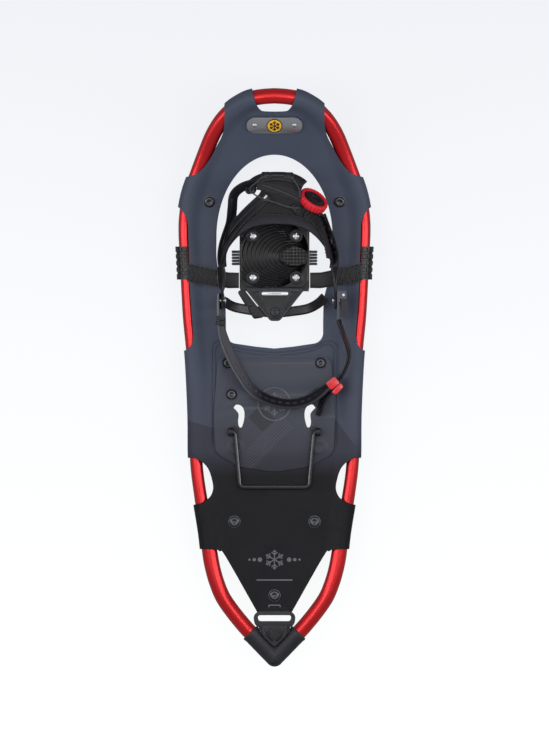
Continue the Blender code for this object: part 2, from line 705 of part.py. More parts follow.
def strap_anchor(side, sx, col, cutters):
    """Outer half of the suspension strap: wraps the tube and runs in over the deck."""
    name = "strap_anchor_" + side
    x0 = 92.2
    ring = arc(0, 0, 11.8, 88, -150, 12) + arc(0, 0, 9.4, -150, 88, 12)
    mesh = plate_mesh([ring], -17.5, 17.5, name)
    mesh.transform(Matrix.Rotation(math.radians(90), 4, "X"))
    mesh.transform(Matrix.Rotation(math.radians(-2.9), 4, "Z"))
    mesh.transform(Matrix.Translation((x0 * MM, 122.0 * MM, TUBE_Z * MM)))
    if sx < 0:
        mesh.transform(Matrix.Scale(-1, 4, (1, 0, 0)))
        mesh = tidy_mesh(mesh)
    obj = add(mesh, name, paint("strap_rubber", (0.016, 0.016, 0.018), 0.55), col)
    strip = [(58.5, 93.5), (80.0, 95.5), (98.0, 104.8), (98.0, 122.0), (80.0, 117.5), (58.5, 112.0)]
    if sx < 0:
        strip = flip(strip)
    plate = plate_mesh([strip], TUBE_Z + 11.2, TUBE_Z + 14.0, name + "_strip")
    cut(obj, cutter_from(plate, name + "_strip", cutters), cutters, "UNION")
    return obj


def strap_inner(side, sx, col):
    """Inner half of the suspension strap, fixed to the binding."""
    name = "strap_end_" + side
    strip = [(37.6, 91.5), (57.9, 93.5), (57.9, 112.0), (37.6, 108.5)]
    if sx < 0:
        strip = flip(strip)
    mesh = plate_mesh([strip], TUBE_Z + 11.2, TUBE_Z + 14.0, name)
    return add(mesh, name, paint("strap_rubber", (0.016, 0.016, 0.018), 0.55), col)


# ---- binding ----
PAD_SCREWS = [(-23.0, 150.6), (23.0, 150.6), (-23.0, 106.6), (23.0, 106.6)]


def binding_chassis(col):
    rim = rounded([(-37, 92), (37, 92), (37, 168), (-37, 168)], [4, 4, 12, 12], 3)
    holes = [arc(x, y, 2.3, 0, 330, 11) for x, y in PAD_SCREWS]
    mesh = plate_mesh([rim] + holes, 47.5, 50.2, "binding_chassis")
    return add(mesh, "binding_chassis", paint("chassis_plastic", BLACK, 0.5), col)


def foot_pad(col):
    rim = rounded([(-29, 95.5), (31, 95.5), (37, 104), (37, 156), (28, 168), (-26, 168), (-36, 156), (-36, 104)],
                  [3, 3, 3, 8, 8, 8, 8, 3], 2)
    holes = [arc(x, y, 4.9, 0, 330, 11) for x, y in PAD_SCREWS]
    mesh = plate_mesh([rim] + holes, 50.5, PAD_TOP, "foot_pad")
    return add(mesh, "foot_pad", paint("pad_rubber", (0.014, 0.014, 0.016), 0.6), col)


def pad_screw(name, x, y, col):
    profile = [(0, PAD_TOP - 0.1), (3.6, PAD_TOP - 0.3), (4.4, PAD_TOP - 1.0), (4.4, 50.5), (1.9, 50.5),
               (1.9, 44.2), (3.4, 44.2), (3.4, 41.8), (0, 41.8)]
    obj = add(lathe_mesh(profile, name, 10), name, paint("screw_steel", STEEL, 0.25, 1.0), col)
    return at(obj, x, y, 0.0)


def tongue(col):
    """Triangular tail of the foot plate."""
    rim = rounded([(-32, 95.1), (33, 95.1), (4.5, 61.5), (-3.5, 61.5)], [2, 2, 4, 4], 3)
    slot = rounded([(-13.5, 91.2), (14.5, 91.2), (14.5, 88), (-13.5, 88)], 1.5, 2)
    hole = arc(0.5, 70.0, 2.3, 0, 330, 11)
    mesh = plate_mesh([rim, slot, hole], 51.0, 53.6, "binding_tongue")
    return add(mesh, "binding_tongue", paint("tongue_plastic", (0.02, 0.02, 0.022), 0.45), col)


ARCH_HALF = 58.5         # half width of the toe wrap at its rear lip
ARCH_MID = 2.5


def arch_rows(u0, u1, nu, nt, spread=0.0):
    """Rows of the toe wrap between fractions u0 and u1 from the rear lip to the front edge."""
    rows = []
    for j in range(nu + 1):
        u = u0 + (u1 - u0) * j / nu
        row = []
        for k in range(nt + 1):
            a = math.pi * (1 - k / nt)
            c, s = math.cos(a), math.sin(a)
            half = ARCH_HALF - 11.0 * u
            x = ARCH_MID + math.copysign(abs(c) ** 0.75, c) * (half + spread)
            z = 52.5 + (44.0 - 10.0 * u) * max(s, 0.0) ** 0.7
            lip = 120.0 + 46.0 * max(s, 0.0) ** 1.3
            front = (150.0 if c < 0 else 158.0) + (68.0 if c < 0 else 60.0) * max(s, 0.0) ** 0.9
            row.append((x, lip + (front - lip) * u, z))
        rows.append(row)
    return rows


def toe_wrap(col, cutters):
    """Moulded wrap over the toes; a see-through window on the left and a seat for the dial."""
    obj = shell(arch_rows(0.0, 1.0, 5, 14), 2.4, "toe_wrap", paint("wrap_plastic", (0.02, 0.02, 0.023), 0.5), col)
    window = [(-38, 193), (-26.5, 199.5), (-17, 200.5), (-14.8, 198), (-16, 194.5), (-32, 179), (-39, 172.5)]
    hole = plate_mesh([window], 40.0, 130.0, "wrap_window")
    cut(obj, cutter_from(hole, "wrap_window", cutters), cutters)
    seat = lathe_mesh([(0, -22), (15.4, -22), (15.4, -5.2), (17.4, -5.2), (17.4, 30), (0, 30)], "dial_seat", 16)
    place = cutter_from(seat, "dial_seat", cutters)
    place.matrix_world = dial_matrix()
    cut(obj, place, cutters)
    return obj


def axle_mesh(sx, x0, x1, radius):
    """Round bar along X on the heel strap pivot, on one side."""
    mesh = lathe_mesh([(0, x0), (radius, x0), (radius, x1), (0, x1)], "axle", 12)
    mesh.transform(Matrix.Rotation(math.radians(90 * sx), 4, "Y"))
    mesh.transform(Matrix.Translation((0, STRAP_PIVOT_Y * MM, STRAP_PIVOT_Z * MM)))
    return mesh


def wing(side, sx, col, cutters):
    """Side wall of the binding from the toe wrap back to the heel strap pivot."""
    if sx < 0:
        feet = [(-59.5, 118), (-60.0, 106), (-58.2, 98), (-55.4, 92), (-55.0, 86), (-55.0, 74)]
        tops = [(-53.5, 118), (-51.5, 106), (-52.4, 98), (-54.6, 92), (-55.0, 86), (-55.0, 74)]
    else:
        feet = [(66.3, 118), (65.6, 110), (64.4, 102), (64.3, 94), (64.3, 86), (64.3, 74)]
        tops = [(60.5, 118), (60.6, 110), (62.0, 102), (63.8, 94), (64.3, 86), (64.3, 74)]
    low = [(x, y, 54.0 + 2.0 * k / 5) for k, (x, y) in enumerate(feet)]
    high = [(x, y, 80.0 - 4.0 * k / 5) for k, (x, y) in enumerate(tops)]
    obj = shell([low, high], 2.4, "wing_" + side, paint("wing_plastic", (0.02, 0.02, 0.023), 0.5), col)
    cut(obj, cutter_from(axle_mesh(sx, 50.0, 80.0, 2.8), "wing_hole_" + side, cutters), cutters)
    return obj


def rear_cradle(col, cutters):
    """Band under the tongue, rising to both wings."""
    line = spline([(-46.0, 86.0, 59.0), (-35.0, 75.5, 51.5), (-15.6, 71.5, 48.8), (1.0, 69.0, 48.8),
                   (18.0, 70.5, 48.8), (41.0, 76.0, 52.5), (53.5, 86.0, 60.0)], 2)
    a, b = [], []
    for k, p in enumerate(line):
        q = line[min(k + 1, len(line) - 1)] - line[max(k - 1, 0)]
        n = Vector((-q.y, q.x, 0.0)).normalized()
        a.append(tuple(p - n * 4.8))
        b.append(tuple(p + n * 4.8))
    obj = shell([a, b], 2.6, "rear_cradle", paint("cradle_plastic", (0.018, 0.018, 0.02), 0.5), col)
    hole = plate_mesh([arc(0.5, 70.0, 2.3, 0, 330, 11)], 40.0, 60.0, "cradle_hole")
    cut(obj, cutter_from(hole, "cradle_hole", cutters), cutters)
    return obj


def dial_matrix():
    head = math.radians(DIAL_HEAD)
    lean = math.radians(DIAL_TILT)
    axis = Vector((math.sin(lean) * math.cos(head), math.sin(lean) * math.sin(head), math.cos(lean)))
    rot = Vector((0, 0, 1)).rotation_difference(axis).to_matrix().to_4x4()
    return Matrix.Translation([c * MM for c in DIAL_AT]) @ rot


def dial(col, cutters):
    """Lace dial: fixed base with a bore, spool inside, knurled ring and cap that turn and pop out."""
    base = lathe_mesh([(0, -14), (14.6, -14), (14.6, -4.6), (0, -4.6)], "dial_base", 24)
    obj = add(base, "dial_base", paint("dial_black", BLACK, 0.4), col)
    bore = lathe_mesh([(0, -11.5), (9.0, -11.5), (9.0, 5), (0, 5)], "dial_bore", 24)
    hole = cutter_from(bore, "dial_bore", cutters)
    hole.matrix_world = dial_matrix()
    obj.matrix_world = dial_matrix()
    cut(obj, hole, cutters)
    spool = add(lathe_mesh([(0, -11.0), (8.4, -11.0), (8.4, -9.8), (5.0, -9.0), (5.0, -6.6), (8.4, -5.8),
                            (8.4, -4.8), (0, -4.8)], "dial_spool", 20), "dial_spool",
                paint("spool_plastic", (0.25, 0.25, 0.26), 0.4), col)
    spool.matrix_world = dial_matrix()
    ring = add(ring_mesh(12.2, 16.4, -4.2, 4.2, "dial_ring", 32, 0.8), "dial_ring",
               paint("dial_red", (0.7, 0.02, 0.03), 0.4), col)
    ring.matrix_world = dial_matrix()
    cap = add(lathe_mesh([(0, 3.6), (9.0, 3.4), (11.8, 2.4), (11.8, -4.2), (0, -4.2)], "dial_cap", 24),
              "dial_cap", paint("dial_cap_black", (0.02, 0.02, 0.022), 0.35), col)
    cap.matrix_world = dial_matrix()


def pivot_parent(obj):
    """Parents a piece to the empty that marks the heel strap pivot."""
    empty = bpy.data.objects.get("heel_strap_axis")
    if empty is None:
        empty = bpy.data.objects.new("heel_strap_axis", None)
        empty.location = (0.0, STRAP_PIVOT_Y * MM, STRAP_PIVOT_Z * MM)
        obj.users_collection[0].objects.link(empty)
        bpy.context.view_layer.update()
    obj.parent = empty
    obj.matrix_parent_inverse = Matrix.Translation([0.0, -STRAP_PIVOT_Y * MM, -STRAP_PIVOT_Z * MM])
    return obj


def heel_strap(col, cutters):
    """Left pivot, round the back of the heel and up to the clip on the right."""
    line = spline([(-58.7, 90.0, 66.0), (-58.6, 72.0, 66.0), (-54.5, 45.0, 63.0), (-44.0, 19.0, 60.0),
                   (-36.0, 5.0, 57.5), (-25.5, -10.5, 55.0), (-13.0, -20.0, 53.0), (1.0, -25.5, 52.0),
                   (17.0, -27.5, 52.0), (33.0, -24.5, 53.0), (46.5, -17.0, 55.0), (56.0, -9.5, 57.0)], 2)
    a, b = [], []
    n = len(line) - 1
    for k, p in enumerate(line):
        q = line[min(k + 1, n)] - line[max(k - 1, 0)]
        out = Vector((q.y, -q.x, 0.0)).normalized()
        lean = 0.6 * math.sin(math.pi * min(1.0, max(0.0, k / n - 0.2) / 0.72)) ** 2
        w = 8.0 if k > 2 else 7.0
        edge = out * (w * math.sin(lean)) + Vector((0, 0, w * math.cos(lean)))
        a.append(tuple(p - edge))
        b.append(tuple(p + edge))
    obj = shell([a, b], 2.4, "heel_strap", paint("heel_strap_rubber", (0.018, 0.018, 0.02), 0.5), col)
    cut(obj, cutter_from(axle_mesh(-1, 50.0, 80.0, 2.8), "strap_hole_left", cutters), cutters)
    return pivot_parent(obj)


def ladder_strap(col):
    """Right-hand strap from the side buckle back to the clip."""
    line = spline([(67.6, 61.0, 66.0), (73.0, 46.0, 65.0), (78.6, 30.0, 63.0), (78.0, 19.0, 61.5),
                   (72.5, 5.5, 59.5), (67.3, -1.0, 58.5)], 2)
    a, b = [], []
    n = len(line) - 1
    for k, p in enumerate(line):
        q = line[min(k + 1, n)] - line[max(k - 1, 0)]
        out = Vector((q.y, -q.x, 0.0)).normalized()
        edge = out * 1.0 + Vector((0, 0, 7.0))
        a.append(tuple(p - edge))
        b.append(tuple(p + edge))
    obj = shell([a, b], 2.4, "ladder_strap", paint("heel_strap_rubber", (0.018, 0.018, 0.02), 0.5), col)
    return pivot_parent(obj)


def strap_tail(col):
    """Free end of the heel strap beyond the clip."""
    line = spline([(58.5, -14.5, 56.0), (53.5, -20.5, 54.5), (49.5, -29.0, 53.5), (46.0, -40.0, 53.0)], 2)
    a, b = [], []
    n = len(line) - 1
    for k, p in enumerate(line):
        q = line[min(k + 1, n)] - line[max(k - 1, 0)]
        out = Vector((-q.y, q.x, 0.0)).normalized()
        edge = out * 1.5 + Vector((0, 0, 7.0))
        a.append(tuple(p - edge))
        b.append(tuple(p + edge))
    obj = shell([a, b], 2.4, "strap_tail", paint("heel_strap_rubber", (0.018, 0.018, 0.02), 0.5), col)
    return pivot_parent(obj)


def strap_clip(col):
    """Red slider that joins the two straps, with its release button on the outside."""
    red = paint("clip_red", (0.7, 0.02, 0.025), 0.35)
    rim = rounded([(-5.6, -4.4), (5.6, -4.4), (5.6, 4.4), (-5.6, 4.4)], 2.0, 2)
    body = add(plate_mesh([rim], -9.5, 9.5, "strap_clip"), "strap_clip", red, col)
    at(body, 61.7, -5.4, 57.6, rz=38.0)
    pivot_parent(body)
    rim = rounded([(-6.0, -2.6), (6.0, -2.6), (4.5, 2.6), (-4.5, 2.6)], 1.8, 2)
    button = add(plate_mesh([rim], -6.5, 6.5, "clip_button"), "clip_button", red, col)
    at(button, 67.0, -12.0, 57.6, rz=-142.0)
    pivot_parent(button)


def strap_keeper(col):
    """Loop that holds the strap against the left side."""
    outer = rounded([(-4.6, -11.0), (4.6, -11.0), (4.6, 11.0), (-4.6, 11.0)], 2.0, 2)
    inner = [(-2.8, -9.2), (2.8, -9.2), (2.8, 9.2), (-2.8, 9.2)]
    mesh = plate_mesh([outer, inner], -3.5, 3.5, "strap_keeper")
    mesh.transform(Matrix.Rotation(math.radians(90), 4, "X"))
    obj = add(mesh, "strap_keeper", paint("keeper_rubber", BLACK, 0.55), col)
    at(obj, -57.0, 60.5, 64.7, rz=-8.0)
    return pivot_parent(obj)


def side_buckle(col, cutters):
    """Buckle base with two ears, its pin, and the lever between the ears."""
    back = [(66.2, 55.5), (68.4, 55.5), (68.4, 76.5), (66.2, 76.5)]
    ears = [(66.2, 55.0), (76.2, 55.0), (76.2, 57.4), (68.4, 57.4), (68.4, 74.6), (76.2, 74.6), (76.2, 77.0),
            (66.2, 77.0)]
    mesh = plate_mesh([ears], -92.0, -84.0, "side_buckle")
    mesh.transform(Matrix.Rotation(math.radians(90), 4, "X"))
    obj = add(mesh, "side_buckle", paint("buckle_grey", (0.22, 0.225, 0.24), 0.4, 0.6), col)
    plate = plate_mesh([back], -88.0, -62.0, "buckle_back")
    plate.transform(Matrix.Rotation(math.radians(90), 4, "X"))
    cut(obj, cutter_from(plate, "buckle_back", cutters), cutters, "UNION")
    cut(obj, cutter_from(axle_mesh(1, 50.0, 80.0, 2.8), "buckle_hole", cutters), cutters)
    pin_hole = plate_mesh([arc(LEVER_X, LEVER_Y, 1.8, 0, 330, 11)], 40.0, 90.0, "pin_hole")
    cut(obj, cutter_from(pin_hole, "buckle_pin_hole", cutters), cutters)
    pivot_parent(obj)
    rim = rounded([(70.5, 91.5), (76.6, 91.5), (77.4, 80), (75.5, 67), (71.5, 64), (70.6, 67)], 1.5, 2)
    lever = add(plate_mesh([rim, arc(LEVER_X, LEVER_Y, 1.8, 0, 330, 11)], 57.8, 74.2, "buckle_lever"), "buckle_lever",
                paint("lever_black", BLACK, 0.4), col)
    pivot_parent(lever)
    pin = add(lathe_mesh([(0, 54.0), (1.45, 54.0), (1.45, 78.0), (0, 78.0)], "buckle_pin", 12), "buckle_pin",
              paint("pin_steel", STEEL, 0.25, 1.0), col)
    at(pin, LEVER_X, LEVER_Y, 0.0)
    pivot_parent(pin)


def pivot_rivet(side, sx, col):
    """Rivet the heel strap turns on: head outside, shank through strap and wing, closed inside."""
    if sx < 0:
        profile = [(0, 52.0), (4.6, 52.0), (4.6, 53.3), (2.45, 53.3), (2.45, 60.4), (4.8, 60.4), (4.0, 61.8),
                   (0, 61.8)]
    else:
        profile = [(0, 60.9), (4.6, 60.9), (4.6, 62.2), (2.45, 62.2), (2.45, 68.7), (4.6, 68.7), (4.0, 69.9),
                   (0, 69.9)]
    mesh = lathe_mesh(profile, "pivot_rivet_" + side, 12)
    mesh.transform(Matrix.Rotation(math.radians(90 * sx), 4, "Y"))
    mesh.transform(Matrix.Translation((0, STRAP_PIVOT_Y * MM, STRAP_PIVOT_Z * MM)))
    return add(mesh, "pivot_rivet_" + side, paint("pin_steel", STEEL, 0.25, 1.0), col)


def arch_point(a, u, h):
    """Point h above the toe wrap at angle a (degrees, 180 left to 0 right) and fraction u to the front."""
    c, s = math.cos(math.radians(a)), math.sin(math.radians(a))

    def surface(c, s, u):
        half = ARCH_HALF - 11.0 * u
        x = ARCH_MID + math.copysign(abs(c) ** 0.75, c) * half
        z = 52.5 + (44.0 - 10.0 * u) * s ** 0.7
        lip = 120.0 + 46.0 * s ** 1.3
        front = (150.0 if c < 0 else 158.0) + (68.0 if c < 0 else 60.0) * s ** 0.9
        return Vector((x, lip + (front - lip) * u, z))

    p = surface(c, s, u)
    da = surface(math.cos(math.radians(a - 2)), math.sin(math.radians(a - 2)), u) - p
    du = surface(c, s, min(u + 0.05, 1.0)) - surface(c, s, u - 0.05)
    n = da.cross(du).normalized()
    if n.z < 0:
        n = -n
    return p + n * h, n, du.normalized()


LACE_GUIDES = [(124.0, 0.62), (101.0, 0.86), (79.0, 0.86), (72.0, 0.26)]


def lace_guides(col):
    """Low eyelet blocks on the toe wrap that the lace runs over."""
    for k, (a, u) in enumerate(LACE_GUIDES):
        name = "lace_guide_%d" % (k + 1)
        p, n, d = arch_point(a, u, 3.3)
        rim = rounded([(-4.5, -3.0), (4.5, -3.0), (4.5, 3.0), (-4.5, 3.0)], 1.5, 2)
        obj = add(plate_mesh([rim], -1.1, 1.1, name), name, paint("guide_plastic", (0.03, 0.03, 0.032), 0.4), col)
        side = d.cross(n).normalized()
        rot = Matrix((side, n.cross(side), n)).transposed().to_4x4()
        obj.matrix_world = Matrix.Translation([c * MM for c in p]) @ rot


def lace(col):
    """Lace cable over the guides, both ends at the dial."""
    stops = [(67.5, 0.69), (70.0, 0.80), (79.0, 0.86), (90.0, 0.86), (101.0, 0.86), (113.0, 0.76), (124.0, 0.62),
             (110.0, 0.50), (90.0, 0.36), (72.0, 0.26), (67.0, 0.28)]
    pts = [arch_point(a, u, 6.2)[0] for a, u in stops]
    obj = add(wire_mesh(spline(pts, 2), 0.8, "lace", 1), "lace", paint("lace_cord", (0.1, 0.1, 0.11), 0.35), col)
    return obj


def build():
    clear_scene()
    col = collection("snowshoe")
    cutters = collection("cutters")
    cutters.hide_render = True
    frame_tube(col)
    deck(col, cutters)
    tail_cap(col, cutters)
    deck_rivets(col)
    heel_plate(col, cutters)
    toe_crampon(col, cutters)
    heel_crampon(col, cutters)
    toe_badge(col, cutters)
    badge_rivets(col)
    heel_lift(col)
    for side, sx in (("left", -1), ("right", 1)):
        bail_clip(side, sx, col, cutters)
        strap_anchor(side, sx, col, cutters)
        strap_inner(side, sx, col)
        wing(side, sx, col, cutters)
        pivot_rivet(side, sx, col)
    tail_link(col)
    binding_chassis(col)
    foot_pad(col)
    for name, (x, y) in zip(("front_left", "front_right", "rear_left", "rear_right"), PAD_SCREWS):
        pad_screw("pad_screw_" + name, x, y, col)
    tongue(col)
    rivet("tongue_rivet", 0.5, 70.0, 53.9, 46.6, col, 5.2, 2.0)
    rear_cradle(col, cutters)
    toe_wrap(col, cutters)
    dial(col, cutters)
    heel_strap(col, cutters)
    ladder_strap(col)
    strap_tail(col)
    strap_clip(col)
    strap_keeper(col)
    side_buckle(col, cutters)
    lace_guides(col)
    lace(col)


build()
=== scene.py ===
"""Looks of the snowshoe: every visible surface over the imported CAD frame."""
import json
from math import asin, atan2, copysign, cos, degrees, hypot, pi, radians, sin, sqrt, tan

import bmesh
import bpy
from mathutils import Matrix, Vector

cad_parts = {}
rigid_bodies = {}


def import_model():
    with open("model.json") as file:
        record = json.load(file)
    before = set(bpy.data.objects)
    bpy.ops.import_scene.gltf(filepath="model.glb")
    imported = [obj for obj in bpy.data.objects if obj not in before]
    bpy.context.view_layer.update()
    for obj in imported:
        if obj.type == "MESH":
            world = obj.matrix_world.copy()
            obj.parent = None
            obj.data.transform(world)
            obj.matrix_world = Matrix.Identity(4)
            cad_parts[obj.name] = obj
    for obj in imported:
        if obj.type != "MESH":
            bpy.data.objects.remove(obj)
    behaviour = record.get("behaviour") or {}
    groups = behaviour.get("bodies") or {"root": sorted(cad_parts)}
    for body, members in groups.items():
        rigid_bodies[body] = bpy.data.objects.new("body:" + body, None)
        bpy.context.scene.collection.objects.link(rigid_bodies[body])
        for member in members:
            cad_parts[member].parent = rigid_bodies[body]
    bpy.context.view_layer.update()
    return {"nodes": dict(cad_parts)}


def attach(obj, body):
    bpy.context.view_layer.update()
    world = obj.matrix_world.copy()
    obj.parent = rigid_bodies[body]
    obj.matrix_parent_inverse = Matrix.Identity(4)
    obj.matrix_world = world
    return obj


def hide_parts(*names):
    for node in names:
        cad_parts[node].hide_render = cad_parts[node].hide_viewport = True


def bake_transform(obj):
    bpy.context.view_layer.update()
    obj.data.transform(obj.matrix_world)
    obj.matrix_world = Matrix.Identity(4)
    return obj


for old in list(bpy.data.objects):
    bpy.data.objects.remove(old, do_unlink=True)
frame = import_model()
NODES = frame["nodes"]
MM = 0.001

# ---- shape of the shoe, mm, as in the CAD ----
TUBE_Z, TUBE_R = 36.0, 8.2
BEND_Y, BEND_R = 150.0, 222.0
SHEET_T, SHEET_H, WRAP_R, FALL_D = 1.4, 4.0, 9.6, 17.0
DECK_TOP = TUBE_Z + SHEET_H + SHEET_T / 2
BADGE_RISE = 2.5
SIDES = (("left", -1), ("right", 1))
FLOOR_HALF = 6.0         # metres
CAMERA_DISTANCE = 14.0   # metres: far away, so the view is nearly parallel
VIEW_HEIGHT = 0.777      # metres seen from top to bottom
ARCH_HALF, ARCH_MID = 58.5, 2.5
PAD_TOP = 55.5
DIAL_AT, DIAL_TILT, DIAL_HEAD = (40.7, 187.7, 80.5), 60.0, 56.0
BADGE_Y = 271.5
HALF_LINE = [
    (0.0, 297.0), (14.0, 296.8), (26.0, 295.0), (36.4, 289.9), (45.5, 283.5), (56.0, 272.5), (65.0, 258.0),
    (72.6, 240.0), (81.4, 217.0), (88.6, 197.0), (92.8, 176.0), (93.8, 155.0), (92.1, 121.0), (89.4, 68.0),
    (85.0, 20.0), (82.2, -40.0), (81.6, -88.0), (77.0, -126.0), (71.1, -163.0), (67.6, -194.0),
    (63.6, -221.0), (57.9, -232.0), (48.1, -246.6), (30.5, -264.5),
]
# tube in plan: centre and half width
TUBE_LINE = [
    (0.0, 298.3, 8.2), (13.0, 297.4, 8.2), (26.0, 295.0, 8.2), (36.4, 289.9, 8.2), (45.5, 283.5, 8.2),
    (56.0, 272.5, 8.2), (65.0, 258.0, 8.2), (72.6, 240.0, 8.2), (81.6, 217.1, 7.9), (89.3, 197.1, 7.3),
    (94.1, 176.0, 6.7), (95.3, 155.0, 6.6), (93.6, 121.0, 6.6), (90.9, 68.0, 6.6), (86.5, 20.0, 6.6),
    (83.7, -40.0, 6.6), (83.0, -88.0, 6.6), (78.3, -126.0, 6.8), (72.2, -160.0, 7.4), (68.3, -187.0, 8.2),
    (65.4, -202.3, 8.2), (61.0, -217.5, 8.2), (54.6, -232.7, 8.2), (44.2, -247.9, 8.2), (31.8, -263.1, 8.2),
    (25.0, -270.4, 8.2), (18.8, -276.9, 8.2),
]


# ---------------------------------------------------------------- materials
class Nodes:
    """Small helper round a material's node tree."""

    def __init__(self, name, rough=0.5, metal=0.0):
        self.mat = bpy.data.materials.new(name)
        self.mat.use_nodes = True
        self.tree = self.mat.node_tree
        self.bsdf = self.tree.nodes["Principled BSDF"]
        self.bsdf.inputs["Roughness"].default_value = rough
        self.bsdf.inputs["Metallic"].default_value = metal
        self.coord = self.new("ShaderNodeTexCoord")

    def new(self, kind, **props):
        node = self.tree.nodes.new(kind)
        for key, value in props.items():
            setattr(node, key, value)
        return node

    def link(self, a, b):
        self.tree.links.new(a, b)

    def noise(self, scale, detail=4.0, rough=0.55, stretch=(1, 1, 1)):
        mapping = self.new("ShaderNodeMapping")
        mapping.inputs["Scale"].default_value = stretch
        self.link(self.coord.outputs["Object"], mapping.inputs["Vector"])
        node = self.new("ShaderNodeTexNoise")
        node.inputs["Scale"].default_value = scale
        node.inputs["Detail"].default_value = detail
        node.inputs["Roughness"].default_value = rough
        self.link(mapping.outputs["Vector"], node.inputs["Vector"])
        return node.outputs["Fac"]

    def ramp(self, source, low, high, start=0.35, end=0.65):
        node = self.new("ShaderNodeMapRange")
        node.inputs["From Min"].default_value = start
        node.inputs["From Max"].default_value = end
        node.inputs["To Min"].default_value = low
        node.inputs["To Max"].default_value = high
        self.link(source, node.inputs["Value"])
        return node.outputs["Result"]

    def mix(self, fac, a, b):
        node = self.new("ShaderNodeMix", data_type="RGBA")
        self.put(fac, node.inputs[0])
        self.put(a, node.inputs[6])
        self.put(b, node.inputs[7])
        return node.outputs[2]

    def put(self, value, socket):
        if isinstance(value, bpy.types.NodeSocket):
            self.link(value, socket)
        elif isinstance(value, (tuple, list)):
            socket.default_value = (*value[:3], 1.0)
        else:
            socket.default_value = value

    def math(self, op, a, b=0.0, clamp=False):
        node = self.new("ShaderNodeMath", operation=op, use_clamp=clamp)
        self.put(a, node.inputs[0])
        self.put(b, node.inputs[1])
        return node.outputs[0]

    def times(self, a, b, clamp=False):
        return self.math("MULTIPLY", a, b, clamp)

    def between(self, value, low, high):
        return self.times(self.math("GREATER_THAN", value, low), self.math("LESS_THAN", value, high))

    def set(self, **values):
        """Plain values on the shader's inputs; _ stands for a space."""
        for key, value in values.items():
            self.bsdf.inputs[key.replace("_", " ")].default_value = value

    def tint(self, base):
        self.link(base, self.bsdf.inputs["Base Color"])

    def bump(self, height, strength, distance=0.0002):
        node = self.new("ShaderNodeBump")
        node.inputs["Strength"].default_value = strength
        node.inputs["Distance"].default_value = distance
        self.link(height, node.inputs["Height"])
        self.link(node.outputs["Normal"], self.bsdf.inputs["Normal"])

    def edge(self, low=0.5, high=0.62):
        """1 on convex edges, 0 elsewhere."""
        geo = self.new("ShaderNodeNewGeometry")
        return self.times(self.ramp(geo.outputs["Pointiness"], 0.0, 1.0, low, high), 1.0, True)

    def axes(self):
        split = self.new("ShaderNodeSeparateXYZ")
        self.link(self.coord.outputs["Object"], split.inputs[0])
        return split.outputs


def srgb(hexa):
    out = []
    for k in (0, 2, 4):
        c = int(hexa[k:k + 2], 16) / 255
        out.append(c / 12.92 if c <= 0.04045 else ((c + 0.055) / 1.055) ** 2.4)
    return tuple(out)


def plastic(name, color, rough=0.45, grain=900.0, bump=0.25, wear=1.6, variation=0.25, coat=0.0, metal=0.0):
    """Moulded plastic or rubber: fine spark-eroded grain, faint cloudy variation, lighter rubbed edges."""
    n = Nodes(name, rough, metal)
    cloud = n.noise(28.0, 5.0)
    dark = tuple(c * (1 - variation) for c in color)
    light = tuple(min(1.0, c * (1 + variation)) for c in color)
    base = n.mix(n.ramp(cloud, 0.0, 1.0), dark, light)
    rubbed = tuple(min(1.0, c * wear + 0.01) for c in color)
    base = n.mix(n.times(n.edge(), 0.6), base, rubbed)
    n.tint(base)
    fine = n.noise(grain, 2.0)
    n.put(n.ramp(n.noise(60.0, 3.0), rough - 0.06, rough + 0.08, 0.3, 0.7), n.bsdf.inputs["Roughness"])
    n.bump(fine, bump)
    n.set(Coat_Weight=coat, Specular_IOR_Level=0.34)
    return n.mat


def metal(name, color, rough=0.3, brush=(1, 1, 30), scale=120.0, wear=1.2, amount=0.12):
    """Metal with fine brush marks along one direction."""
    n = Nodes(name, rough, 1.0)
    lines = n.noise(scale, 3.0, 0.6, brush)
    base = n.mix(lines, tuple(c * 0.82 for c in color), tuple(min(1.0, c * 1.12) for c in color))
    base = n.mix(n.times(n.edge(0.5, 0.6), 0.5), base, tuple(min(1.0, c * wear) for c in color))
    n.tint(base)
    n.put(n.ramp(lines, rough - 0.08, rough + amount, 0.25, 0.75), n.bsdf.inputs["Roughness"])
    n.bump(lines, 0.12)
    return n.mat


def anodised():
    """Red anodised tube: soft dark red toward the edges, painted shade that follows the viewing angle; bright
    band where the light falls.
    """
    n = Nodes("anodised_red", 0.3, 0.6)
    lines = n.noise(300.0, 3.0, 0.6, (1, 1, 1))
    cloud = n.noise(14.0, 4.0)
    base = n.mix(cloud, srgb("cc1b20"), srgb("df2a2f"))
    facing = n.new("ShaderNodeLayerWeight")
    facing.inputs["Blend"].default_value = 0.42
    # painted shade: the red turns dark toward the tube's outline, by viewing angle
    base = n.mix(n.ramp(facing.outputs["Facing"], 0.0, 0.9, 0.35, 0.95), base, srgb("6d0a10"))
    n.tint(base)
    n.put(n.ramp(cloud, 0.26, 0.34, 0.3, 0.7), n.bsdf.inputs["Roughness"])
    n.set(Coat_Weight=0.08, Coat_Roughness=0.2)
    n.bump(lines, 0.02, 0.00005)
    return n.mat


